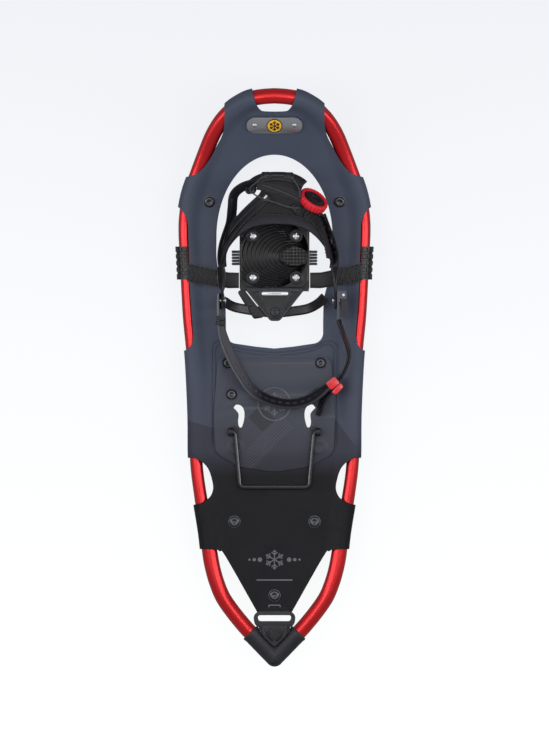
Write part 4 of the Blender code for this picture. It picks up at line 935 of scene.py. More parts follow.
def make_link():
    rim = rounded([(-23.5, -247.2), (23.5, -247.2), (20.5, -264.6), (-20.5, -264.6)], 7.5, 8)
    hole = rounded([(-18.5, -251.4), (18.5, -251.4), (16.5, -257.6), (-16.5, -257.6)], 2.8, 6)
    finish_mesh(plate([rim, hole], 41.2, 44.8, 1.2, 3), "link_ring", CAP, "frame", 45, ("tail_link",))
    fold = plate([rounded([(-16.3, -243.0), (16.3, -243.0), (16.3, -250.0), (-16.3, -250.0)], 1.0)], 40.6,
            41.9, 0.5)
    finish_mesh(fold, "deck_fold", DECK, "frame")


def make_bail():
    x0, x1, y1 = 41.5, 37.0, -115.4
    by, bz = -57.0, 46.6
    corner = arc(-x1 + 5.0, y1 + 5.0, 5.0, 180, 270, 8)
    left = [(-x0 - 8.0, by), (-x0 - 3.0, by), (-x0 - 0.8, by - 0.6), (-x0, by - 3.0),
            (-x0 + 0.8, by - 12.0)] + corner
    line = left + flip(left)
    mesh = rod([(x, y, bz) for x, y in line], 2.25, 16)
    finish_mesh(mesh, "bail_wire", WIRE, "heel_lift", 50, ("heel_lift_bail",))
    for side, s in SIDES:
        z0 = 43.8
        profile = rounded([(-4.4, z0), (4.4, z0), (4.4, z0 + 6.4), (-4.4, z0 + 6.4)], [0.8, 0.8, 3, 3], 5)
        mesh = plate([profile, circle(0.0, bz, 2.6)], -2.2, 2.2, 0.5)
        mesh.transform(Matrix.Rotation(radians(90), 4, "X"))
        mesh.transform(Matrix.Rotation(radians(90), 4, "Z"))
        mesh.transform(Matrix.Translation((s * 46.5 * MM, by * MM, 0)))
        hook = plate([rounded([(s * 37.0, -51.5), (s * 45.0, -51.0), (s * 45.0, -60.5), (s * 39.5, -59.5)],
                     2.0)],
                     43.4, 44.3, 0.3)
        finish_mesh(joined([mesh, hook]), "bail_bearing_" + side, BLACK, "frame", 45, ("bail_clip_" + side,))


# ---------------------------------------------------------------- suspension straps
def slab(nu, nv, top, bottom):
    """Closed slab from two surface functions of (u, v) in 0..1."""
    w = nu + 1
    verts = [tuple(face(i / nu, j / nv)) for face in (top, bottom) for j in range(nv + 1) for i in range(w)]
    off = w * (nv + 1)
    faces = []
    for j in range(nv):
        for i in range(nu):
            a = j * w + i
            faces.append((a, a + 1, a + 1 + w, a + w))
            faces.append((off + a, off + a + w, off + a + 1 + w, off + a + 1))
    for i in range(nu):
        faces.append((i, off + i, off + i + 1, i + 1))
        a = nv * w + i
        faces.append((a, a + 1, off + a + 1, off + a))
    for j in range(nv):
        a = j * w
        faces.append((a, a + w, off + a + w, off + a))
        b = j * w + nu
        faces.append((b, off + b, off + b + w, b + w))
    return clean(raw(verts, faces))


def pattern(u, v):
    """Moulded arrowheads and bars on the outer half of the strap."""
    w = abs(v - 0.5) * 2
    edge = 1.0 if w > 0.86 else 0.0
    chevron = (u * 6.0 + w * 0.9) % 1.0
    rib = 0.5 - 0.5 * cos(2 * pi * chevron)
    rib = 1.0 if rib > 0.55 else 0.0
    return max(edge, rib)


def make_straps():
    for side, s in SIDES:
        z0 = TUBE_Z + 11.2

        def mid(u):
            """Centre y and half width of the strap, u from the tube to the binding."""
            return 113.0 - 9.4 * min(1.0, u * 1.25) ** 0.8, 8.2 + 1.2 * (1 - u)

        def top(u, v, s=s, z0=z0, mid=mid):
            x = 93.0 - 55.4 * u
            cy, hw = mid(u)
            h = 0.7 * pattern(u / 0.56, v) if 0.04 < u < 0.56 else (0.5 if abs(v - 0.5) > 0.42 else 0.0)
            return (s * x, cy + hw * (2 * v - 1), z0 + 2.3 + h + 0.3 * sin(pi * v))

        def bottom(u, v, s=s, z0=z0, mid=mid):
            x = 93.0 - 55.4 * u
            cy, hw = mid(u)
            return (s * x, cy + hw * (2 * v - 1), z0)

        mesh = slab(120, 28, top, bottom)
        strap = finish_mesh(mesh, "suspension_" + side, STRAP, None, 35)
        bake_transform(strap)
        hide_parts("strap_end_" + side)

        def sleeve_point(u, v, lift_by, s=s):
            a = radians(92 - 246 * u)
            y = 104.5 + 35.0 * v
            x0 = 92.2 + (y - 122.0) * 0.0506
            r = 9.5 + lift_by
            return (s * (x0 + r * cos(a)), y, TUBE_Z + r * sin(a))

        def sleeve_top(u, v, s=s, f=sleeve_point):
            band = v * 5.0 % 1.0
            col = u * 9.0 % 1.0
            block = 1.0 if (0.16 < band < 0.84 and 0.14 < col < 0.86) else 0.0
            edge = 1.0 if (v < 0.05 or v > 0.95) else 0.0
            return f(u, v, 1.9 + 0.8 * max(block, edge))

        def sleeve_low(u, v, s=s, f=sleeve_point):
            return f(u, v, 0.1)

        mesh = slab(108, 70, sleeve_top, sleeve_low)
        finish_mesh(mesh, "tube_sleeve_" + side, STRAP, "frame", 35, ("strap_anchor_" + side,))


# ---------------------------------------------------------------- binding
def ring_param(x, y):
    """How many rings out from the inner oval the point lies (0 = on the inner oval)."""
    lo, hi = -0.75, 3.0
    for _ in range(22):
        t = (lo + hi) / 2
        a = 15.3 + 20.2 * t
        b = 10.9 + 20.6 * t
        cx = 36.0 - a
        cy = 129.0 + 3.0 * t
        if ((x - cx) / a) ** 2 + ((y - cy) / b) ** 2 > 1:
            lo = t
        else:
            hi = t
    return t


def make_pad():
    outline = rounded([(-27.5, 95.5), (30, 95.5), (37, 104.5), (37, 157), (29, 168), (-27, 168), (-36, 157),
                       (-36, 104.5)], [2, 2, 4, 9, 8, 8, 9, 4], 5)
    nx, ny = 150, 148
    screws = [(-23.0, 150.6), (23.0, 150.6), (-23.0, 106.6), (23.0, 106.6)]

    def top(u, v):
        x, y = -37.0 + 75.0 * u, 95.0 + 74.0 * v
        t = ring_param(x, y) * 9.0
        if t < 0:
            gx, gy = cos(2 * pi * x / 3.4), cos(2 * pi * y / 3.4)
            h = -0.9 + (0.35 if max(gx, gy) > 0.72 else 0.0) + (0.8 if t > -0.35 else 0.0)
        elif t < 12:
            f = t % 1.0
            h = 0.95 * max(0.0, cos(2 * pi * (f - 0.5))) ** 0.6 - 0.75
        else:
            h = -0.4
        d = min(hypot(x - a, y - b) for a, b in screws)
        if d < 7.0:
            h = -0.15 if d > 6.0 else -0.5
        edge = min(x + 36, 37 - x, y - 95.5, 168 - y)
        if edge < 2.0:
            h = max(h, -0.1 - 0.25 * (1 - max(edge, 0.0) / 2.0))
        return (x, y, PAD_TOP + h)

    def bottom(u, v):
        return (-37.0 + 75.0 * u, 95.0 + 74.0 * v, 50.4)

    mesh = slab(nx, ny, top, bottom)
    mesh = boolean(mesh, [plate([outline], 40.0, 70.0)], "INTERSECT")
    finish_mesh(mesh, "pad_rings", PAD, "binding", 50, ("foot_pad",))
    for k, ((x, y), place) in enumerate(zip(screws, ("front_left", "front_right", "rear_left",
            "rear_right"))):
        slot_a = plate([[(-3.2, -0.55), (3.2, -0.55), (3.2, 0.55), (-3.2, 0.55)]], 0.55, 3.0)
        slot_b = plate([[(-0.55, -3.2), (0.55, -3.2), (0.55, 3.2), (-0.55, 3.2)]], 0.55, 3.0)
        cap = lathe([(0, 0.9), (1.6, 0.9), (1.9, 1.35), (3.2, 1.15), (4.2, 0.55), (4.5, 0.0), (4.4, -0.8),
                    (0, -0.8)],
                    28)
        head = boolean(cap, [boolean(slot_a, [slot_b], "UNION")])
        head.transform(Matrix.Translation((x * MM, y * MM, 55.1 * MM)) @ Matrix.Rotation(0.6 + k * 0.8, 4,
                "Z"))
        washer = lathe([(4.6, -0.7), (4.7, -0.1), (6.0, -0.1), (6.2, -0.7)], 28)
        washer.transform(Matrix.Translation((x * MM, y * MM, 55.4 * MM)))
        finish_mesh(head, "screw_" + place, STEEL, "binding", 40, ("pad_screw_" + place,))
        finish_mesh(washer, "screw_seat_" + place, BLACK, "binding")


def make_tongue():
    rim = rounded([(-32, 95.1), (33, 95.1), (5.5, 60.5), (-4.5, 60.5)], [2, 2, 5, 5], 6)
    slot_out = rounded([(-13.5, 91.2), (14.5, 91.2), (14.5, 88), (-13.5, 88)], 1.4, 4)
    body = plate([rim, slot_out], 51.0, 53.6, 0.8, 3)
    ridge = plate([rim, rounded([(-28.6, 93.6), (29.6, 93.6), (4.8, 62.6), (-3.8, 62.6)], [2, 2, 4, 4], 6)],
                  53.0, 54.4, 0.4)
    lip = plate([rounded([(-16.5, 93.2), (17.5, 93.2), (17.5, 86.2), (-16.5, 86.2)], 2.2, 5),
                 rounded([(-13.7, 91.4), (14.7, 91.4), (14.7, 87.8), (-13.7, 87.8)], 1.3, 4)], 53.2, 54.2,
                         0.35)
    finish_mesh(body, "tongue_plate", SATIN, "binding", 45, ("binding_tongue",))
    finish_mesh(joined([ridge, lip]), "tongue_ridges", GREY, "binding", 45)
    bar = plate([rounded([(-12.9, 90.6), (13.9, 90.6), (13.9, 88.8), (-12.9, 88.8)], 0.8, 3)], 51.4, 53.0,
            0.3)
    finish_mesh(bar, "tongue_buckle_bar", STEEL, "binding")
    rivet_head("rivet_tongue", 0.5, 70.0, 53.6, "binding", "tongue_rivet", mat=GREY, r=5.2, z_low=46.6)


def make_cradle():
    """Band under the tongue with edge beads, and the bracket to the left."""
    line = spline([(-53.5, 81.5, 58.5), (-45.5, 76.5, 54.5), (-35.0, 73.6, 51.5), (-15.6, 70.6, 48.8),
                   (1.0, 69.2, 48.8), (18.0, 70.7, 48.8), (35.0, 73.5, 50.5), (46.0, 79.0, 55.0),
                   (53.5, 86.0, 60.0)], 8)
    n = len(line) - 1
    rows = []
    for k, p in enumerate(line):
        q = along(line, k)
        out = Vector((-q.y, q.x, 0.0)).normalized()
        rows.append([tuple(p + out * (w * 5.2)) for w in (-1, -0.85, -0.6, -0.2, 0.2, 0.6, 0.85, 1)])
    mesh = solid(grid(rows), 2.4, 0.0, 0.8, 3)
    beads = []
    for w in (-1, 1):
        pts = []
        for k, p in enumerate(line):
            q = along(line, k)
            out = Vector((-q.y, q.x, 0.0)).normalized()
            pts.append(p + out * (w * 4.1) + Vector((0, 0, 1.2)))
        beads.append(rod(pts, 0.7, 8))
    finish_mesh(joined([mesh] + beads), "cradle_band", SATIN, "binding", 45, ("rear_cradle",))
    web = plate([rounded([(-40.5, 93.0), (-31.5, 93.0), (-9.0, 64.5), (-22.0, 62.5)], 3, 5)], 50.0, 51.6, 0.5)
    finish_mesh(web, "cradle_bracket", BLACK, "binding", 45)


def surface(c, s, u):
    half = ARCH_HALF - 11.0 * u
    x = ARCH_MID + copysign(abs(c) ** 0.75, c) * half
    z = 52.5 + (44.0 - 10.0 * u) * max(s, 0.0) ** 0.7
    lip = 120.0 + 46.0 * max(s, 0.0) ** 1.3
    front = (150.0 if c < 0 else 158.0) + (68.0 if c < 0 else 60.0) * max(s, 0.0) ** 0.9
    return Vector((x, lip + (front - lip) * u, z))


def wrap_at(deg, u):
    """Point and outward normal of the toe wrap; deg 0 is the right base, 180 the left base."""
    def pt(d, v):
        a = radians(min(179.9, max(0.1, d)))
        return surface(cos(a), sin(a), v)

    p = pt(deg, u)
    n = (pt(deg + 1.5, u) - pt(deg - 1.5, u)).cross(pt(deg, u + 0.02) - pt(deg, u - 0.02)).normalized()
    if n.dot(Vector((p.x - ARCH_MID, 0.0, max(p.z - 52.5, 1.0)))) < 0:
        n = -n
    return p, n


WRAP_TABLE = [(d, v / 50) for d in range(6, 175, 2) for v in range(-12, 63)]
WRAP_TABLE = [(d, v, wrap_at(d, v)[0]) for d, v in WRAP_TABLE]


def arch_at(x, y, h=0.0):
    """Point on the toe wrap above plan position (x, y), raised h along the normal."""
    d, v, p = min(WRAP_TABLE, key=lambda e: (e[2].x - x) ** 2 + (e[2].y - y) ** 2)
    for _ in range(4):
        p, n = wrap_at(d, v)
        pd = (wrap_at(d + 1, v)[0] - p)
        pv = (wrap_at(d, v + 0.01)[0] - p) / 0.01
        det = pd.x * pv.y - pd.y * pv.x
        if abs(det) < 2.0:
            break
        ex, ey = x - p.x, y - p.y
        step_d = (ex * pv.y - ey * pv.x) / det
        step_v = (pd.x * ey - pd.y * ex) / det
        d = min(176.0, max(4.0, d + max(-2.0, min(2.0, step_d))))
        v = min(1.3, max(-0.3, v + max(-0.05, min(0.05, step_v))))
    p, n = wrap_at(d, v)
    return p + n * h, n


def lay_band(points, width, thick, h=0.0, bevel=0.5, across=4, crown=0.25):
    """Band laid on the wrap through (point, normal) pairs."""
    pts = [p for p, n in points]
    for _ in range(2):
        pts = [pts[0]] + [(pts[k - 1] + pts[k] * 2 + pts[k + 1]) / 4 for k in range(1,
                len(pts) - 1)] + [pts[-1]]
    n = len(pts) - 1
    rows = []
    for k, p in enumerate(pts):
        t = along(pts, k).normalized()
        normal = points[k][1]
        side = normal.cross(t).normalized()
        w = width(k / n) if callable(width) else width
        rows.append([tuple(p + side * (w * (i / across - 0.5))
                           + normal * (h - crown * (2 * i / across - 1) ** 2)) for i in range(across + 1)])
    return solid(clean(grid(rows)), thick, 0.0, bevel, 3)


def arch_band(line, width, thick, h=0.0, bevel=0.5, across=4):
    """Band that lies on the toe wrap along a plan line."""
    return lay_band([arch_at(p[0], p[1]) for p in line], width, thick, h, bevel, across)


def make_wrap():
    rows = []
    for j in range(21):
        u = j / 20
        rows.append([tuple(surface(cos(pi * (1 - k / 56)), sin(pi * (1 - k / 56)), u))
                     for k in range(57)])
    mesh = solid(grid(rows), 2.0)
    window = curve([(-38.5, 194), (-27.5, 200.2), (-17.8, 201.6), (-14.6, 199.2), (-16.4, 194.5),
                                        (-25, 186), (-33, 178), (-38.6, 171.5), (-42.2, 174), (-41.6, 184),
                                        (-38.5, 194)], 4)[:-1]
    mesh = boolean(mesh, [plate([window], 40.0, 130.0)])
    seat = lathe([(0, -22), (15.4, -22), (15.4, -5.2), (17.3, -5.2), (17.3, 30), (0, 30)], 40)
    seat.transform(dial_matrix())
    mesh = boolean(mesh, [seat])
    finish_mesh(mesh, "wrap_shell", WRAP, "binding", 40, ("toe_wrap",))
    # padded lip round the foot opening
    lip = [wrap_at(177.0 - 174.0 * k / 40, 0.05) for k in range(41)]
    band = lay_band(lip, lambda t: 12.0 - 3.5 * abs(2 * t - 1), 3.0, 0.6, 1.1, 6, 0.8)
    finish_mesh(band, "wrap_lip", LIP, "binding", 50)
    seam = [wrap_at(174.0 - 168.0 * k / 60, 0.13) for k in range(61)]
    pts = [p + n * 1.9 for p, n in seam]
    stitch = [rod([pts[k], pts[k] + (pts[k + 1] - pts[k]) * 0.62], 0.34, 6) for k in range(60)]
    finish_mesh(joined(stitch), "lip_stitch", GREY, "binding")
    # ribbed arm from the instep down to the left side, with grooves between the ribs
    arm = curve([(-6.5, 194.0), (-19, 182.5), (-33, 168.5), (-44.5, 152.5), (-52.0, 138)])
    finish_mesh(arch_band(arm, lambda t: 12.5 + 2.5 * t, 2.2, 1.7, 0.7), "arm_inner", BLACK, "binding", 45)
    ribs = []
    for off, w in ((-4.3, 1.7), (0.2, 1.7), (4.6, 1.7)):
        moved = []
        for k, p in enumerate(arm):
            a, b = Vector(arm[max(k - 1, 0)]), Vector(arm[min(k + 1, len(arm) - 1)])
            d = (b - a).normalized()
            moved.append(tuple(Vector(p) + Vector((-d.y, d.x)) * off))
        ribs.append(arch_band(moved, w, 1.4, 3.3, 0.5, 2))
    finish_mesh(joined(ribs), "arm_ribs", SATIN, "binding", 45)
    eye = plate([circle(0, 0, 4.6, 28), box(2.6, 1.3, 1.2)], 0, 2.2, 0.5)
    p, n = arch_at(-9.3, 190.5, 2.6)
    place = lying_on(p, n, radians(48))
    eye.transform(place)
    finish_mesh(eye, "arm_eyelet", SATIN, "binding")
    slotpiece = plate([box(2.4, 1.1, 1.0)], 0.6, 1.4)
    slotpiece.transform(place)
    finish_mesh(slotpiece, "eyelet_slot", STEEL, "binding")
    # outer arm along the front left edge
    def flat_band(line, width, thick, tilt):
        rows = []
        for k, p in enumerate(line):
            t = k / (len(line) - 1)
            q = along(line, k)
            out = Vector((-q.y, q.x, 0.0)).normalized()
            w = width(t)
            rows.append([tuple(p + (out + Vector((0, 0, tilt))) * (w * (i / 6 - 0.5))
                               - Vector((0, 0, 0.5 * (i / 3 - 1) ** 2))) for i in range(7)])
        return solid(clean(grid(rows)), thick, 0.0, 0.8, 3)

    outer = spline([(-20.0, 206.8, 88.5), (-34.0, 202.0, 84.5), (-43.0, 193.5, 80.0), (-44.8, 179.1, 76.0),
                    (-46.5, 164.3, 72.0), (-51.0, 150.9, 67.5), (-54.6, 139.0, 64.0), (-56.0, 127.1, 61.0),
                    (-55.2, 117.5, 58.5)], 6)
    finish_mesh(flat_band(outer, lambda t: 8.6 + 1.2 * sin(pi * t), 2.4, -0.55), "arm_outer", BLACK,
                "binding", 45)
    trim = flat_band([p + Vector((0, 0, 1.3)) for p in outer[14:-3]], lambda t: 3.4, 1.2, -0.55)
    finish_mesh(trim, "arm_outer_rib", SATIN, "binding", 45)
    leg = spline([(50.5, 173.0, 76.0), (55.6, 159.0, 70.5), (60.2, 146.0, 66.0), (63.2, 134.0, 62.5),
                  (63.6, 124.0, 60.0), (62.8, 116.0, 58.5)], 6)
    finish_mesh(flat_band(leg, lambda t: 7.4 + 1.4 * t, 2.4, 0.55), "arm_leg_right", BLACK, "binding", 45)
    links = [flat_band([p + Vector((0, 0, 1.4)) for p in leg[k:k + 3]], lambda t: 4.2, 1.0, 0.55)
             for k in range(2, 20, 4)]
    finish_mesh(joined(links), "arm_leg_links", SATIN, "binding", 45)
    # toe panels that overlap on the centre
    toe_a = curve([(-23, 206.5), (-10, 211.5), (4, 212.5), (18, 210.5), (30, 205)])
    finish_mesh(arch_band(toe_a, lambda t: 9.0, 2.6, 1.6, 0.9), "toe_bar", BLACK, "binding", 45)
    strap = curve([(-18, 203.5), (-2, 200.5), (14, 196), (27, 190)])
    finish_mesh(arch_band(strap, 9.5, 1.6, 1.7, 0.5), "instep_strap", WEB, "binding", 45)
    side = curve([(33, 175), (42, 166), (50, 153), (54.5, 138), (56.5, 126)])
    finish_mesh(arch_band(side, lambda t: 13.0 - 3.0 * t, 2.2, 1.6, 0.7), "arm_right", BLACK, "binding", 45)
    ladder = []
    for k in range(12):
        t = k / 11
        q = Vector(side[int(t * (len(side) - 1))])
        r = Vector(side[min(int(t * (len(side) - 1)) + 1, len(side) - 1)])
        d = (r - q)
        if d.length == 0:
            continue
        d.normalize()
        m = Vector((-d.y, d.x)) * 4.0
        seg = [tuple(q - m), tuple(q + m * 0.1), tuple(q + m)]
        ladder.append(arch_band(seg, 1.5, 1.2, 3.1, 0.3, 2))
    finish_mesh(joined(ladder), "arm_right_ribs", SATIN, "binding", 45)


def dial_matrix():
    head, lean = radians(DIAL_HEAD), radians(DIAL_TILT)
    axis = Vector((sin(lean) * cos(head), sin(lean) * sin(head), cos(lean)))
    return (Matrix.Translation([c * MM for c in DIAL_AT])
            @ Vector((0, 0, 1)).rotation_difference(axis).to_matrix().to_4x4())


def make_dial():
    base = lathe([(0, -14), (13.6, -14), (14.6, -13), (14.6, -5.4), (14.0, -4.6), (9.2, -4.6), (9.0, -5.4),
                  (9.0, -11.5),
                  (0, -11.5)], 48)
    base.transform(dial_matrix())
    finish_mesh(base, "dial_housing", BLACK, "binding", 45, ("dial_base",))
    # knurled ring: broad rounded lugs
    steps = 24 * 8
    rows = []
    for k in range(steps):
        a = 2 * pi * k / steps
        lug = 0.5 + 0.5 * cos(24 * a)
        out = 15.75 + 0.75 * min(1.0, lug * 1.8)
        prof = [(12.2, -4.0), (14.4, -4.2), (out - 0.5, -3.9), (out, -3.0), (out, 2.4), (out - 0.6, 3.6),
                (14.6, 4.3),
                (13.2, 4.1), (12.2, 3.3)]
        rows.append([(r * cos(a), r * sin(a), z) for r, z in prof] + [(12.2 * cos(a),
                                                                             12.2 * sin(a), -4.0)])
    rows.append(rows[0])
    mesh = clean(grid(rows))
    mesh.transform(dial_matrix())
    finish_mesh(mesh, "dial_grip_ring", DIALRED, "dial_grip", 50, ("dial_ring",))
    cap = lathe([(0, 3.1), (5.0, 3.1), (5.6, 3.7), (7.6, 3.9), (9.4, 3.5), (11.0, 2.7), (11.8, 1.6),
                 (11.8, -4.2),
                 (0, -4.2)], 48)
    marks = []
    for k in range(12):
        m = plate([rounded([(8.2, -0.45), (10.2, -0.45), (10.2, 0.45), (8.2, 0.45)], 0.3, 3)], 3.3, 4.0)
        m.transform(Matrix.Rotation(radians(30 * k), 4, "Z"))
        marks.append(m)
    arrow = plate([arc(0, 0, 4.2, 20, 300, 20) + list(reversed(arc(0, 0, 3.3, 20, 300, 20)))], 2.9, 3.45)
    cap.transform(dial_matrix())
    finish_mesh(cap, "dial_button", SATIN, "dial_core", 40, ("dial_cap",))
    extra = joined(marks + [arrow])
    extra.transform(dial_matrix())
    finish_mesh(extra, "dial_marks", GREY, "dial_core")


def make_lace():
    stops = [(25.5, 190.0), (24.5, 199), (20.5, 206.5), (14.8, 212.0), (3.5, 213.0), (-8.5, 212.4),
             (-17, 206.5),
             (-24, 198), (-15, 190), (2, 184), (15, 179.5), (25, 178.5)]
    line = curve(stops)
    pts = []
    for x, y in line:
        p, n = arch_at(x, y, 5.4)
        pts.append(p)
    finish_mesh(rod(pts, 0.8, 10), "lace_run", CORD, "binding", 60, ("lace",))
    second = curve([(-12.5, 203), (0, 199), (12, 194), (23, 188.5)])
    pts = [arch_at(x, y, 4.6)[0] for x, y in second]
    finish_mesh(rod(pts, 0.65, 10), "lace_cross", CORD, "binding", 60)
    for k, (node, (x, y)) in enumerate(zip(("lace_guide_2", "lace_guide_3", "lace_guide_1", "lace_guide_4"),
                                           ((-8.5, 213.5), (14.8, 213.0), (-24, 198), (22, 178.5)))):
        p, n = arch_at(x, y, 3.0)
        shape = rounded([(-5.5, -3.6), (5.5, -3.6), (6.2, 0.5), (4.0, 3.8), (-4.0, 3.8), (-6.2, 0.5)], 1.6, 4)
        mesh = plate([shape], -1.4, 1.5, 0.7, 3)
        lugs = [rod([(s * 3.6, -2.6, 1.6), (s * 3.9, 0, 2.5), (s * 3.6, 2.6, 1.6)], 1.2, 10) for s in (-1, 1)]
        whole = joined([mesh] + lugs)
        turn = atan2(y - 200, x) if k > 1 else 0.0
        whole.transform(lying_on(p, n, turn))
        finish_mesh(whole, node + "_eyelet", SATIN, "binding", 45, (node,))
    # cable housing along the right shoulder
    house = curve([(44, 176), (50, 167), (55, 155), (57.5, 142)])
    pts = [arch_at(x, y, 4.4)[0] for x, y in house]
    finish_mesh(rod(pts, 1.1, 10), "lace_housing", GREY, "binding", 60)


def make_wings():
    shapes = {
        "left": ([(-59.5, 118), (-60.0, 106), (-58.2, 98), (-55.4, 92), (-55.0, 86), (-55.0, 73)],
                 [(-53.5, 118), (-51.5, 106), (-52.4, 98), (-54.6, 92), (-55.0, 86), (-55.0, 73)]),
        "right": ([(66.3, 118), (65.6, 110), (64.4, 102), (64.3, 94), (64.3, 86), (64.3, 73)],
                  [(60.5, 118), (60.6, 110), (62.0, 102), (63.8, 94), (64.3, 86), (64.3, 73)]),
    }
    for side, s in SIDES:
        feet, tops = [spline(line, 4) for line in shapes[side]]
        n = len(feet) - 1

        def wall_at(k, v, feet=feet, tops=tops, n=n, s=s):
            t = k / n
            low = 54.0 + 2.0 * t + 6.0 * max(0.0, t - 0.8)
            high = 81.0 - 5.0 * t - 6.0 * max(0.0, t - 0.75)
            q = feet[k].lerp(tops[k], v)
            return Vector((q.x + s * 0.5 * sin(pi * v), q.y, low + (high - low) * v))

        mesh = solid(grid([[tuple(wall_at(k, j / 8)) for k in range(n + 1)] for j in range(9)]), 2.2, 0.0,
                0.8, 3)
        ribs = []
        stop = n - 9 if s < 0 else n
        for v in (0.12, 0.88):
            ribs.append(rod([wall_at(k, v) + Vector((s * 1.1, 0, 0)) for k in range(1, stop)], 0.8, 8))
        finish_mesh(joined([mesh] + ribs), "side_wall_" + side, SATIN, "binding", 45, ("wing_" + side,))
        x_out = -60.5 if s < 0 else 68.7
        head = lathe([(0, 0.9), (2.0, 1.3), (3.6, 1.2), (4.6, 0.6), (4.8, 0.0), (4.6, -0.3), (2.3, -0.3),
                      (2.3, -8.0),
                      (4.4, -8.0), (4.4, -9.2), (0, -9.2)], 28)
        if s > 0:
            head = lathe([(0, 0.8), (2.0, 1.1), (3.6, 1.0), (4.5, 0.5), (4.6, 0.0), (2.3, 0.0), (2.3, -6.4),
                          (4.4, -6.4),
                          (4.4, -7.6), (0, -7.6)], 28)
        head.transform(Matrix.Translation((x_out * MM, 0.082, 0.066))
                       @ Matrix.Rotation(radians(90 * s), 4, "Y"))
        finish_mesh(head, "pivot_head_" + side, STEEL, "binding", 40, ("pivot_rivet_" + side,))


# ---------------------------------------------------------------- heel strap
def strap_lean(t):
    return 0.15 + 0.5 * min(1.0, max(0.0, t - 0.08) / 0.14) - 0.3 * max(0.0, t - 0.86) / 0.14


def strap_axes(line, k):
    """Width and outward directions of the heel strap at point k."""
    q = along(line, k)
    out = Vector((q.y, -q.x, 0.0)).normalized()
    a = strap_lean(k / (len(line) - 1))
    up = Vector((0, 0, 1))
    return out * sin(a) + up * cos(a), out * cos(a) - up * sin(a)


def strap_hole(point, axes, half_x, half_y, radius):
    """Cutter through a strap, set in its own axes."""
    tool = plate([box(half_x, half_y, radius, 4)], -4, 4)
    tool.transform(Matrix.Translation(point * MM) @ Matrix(axes).transposed().to_4x4())
    return tool


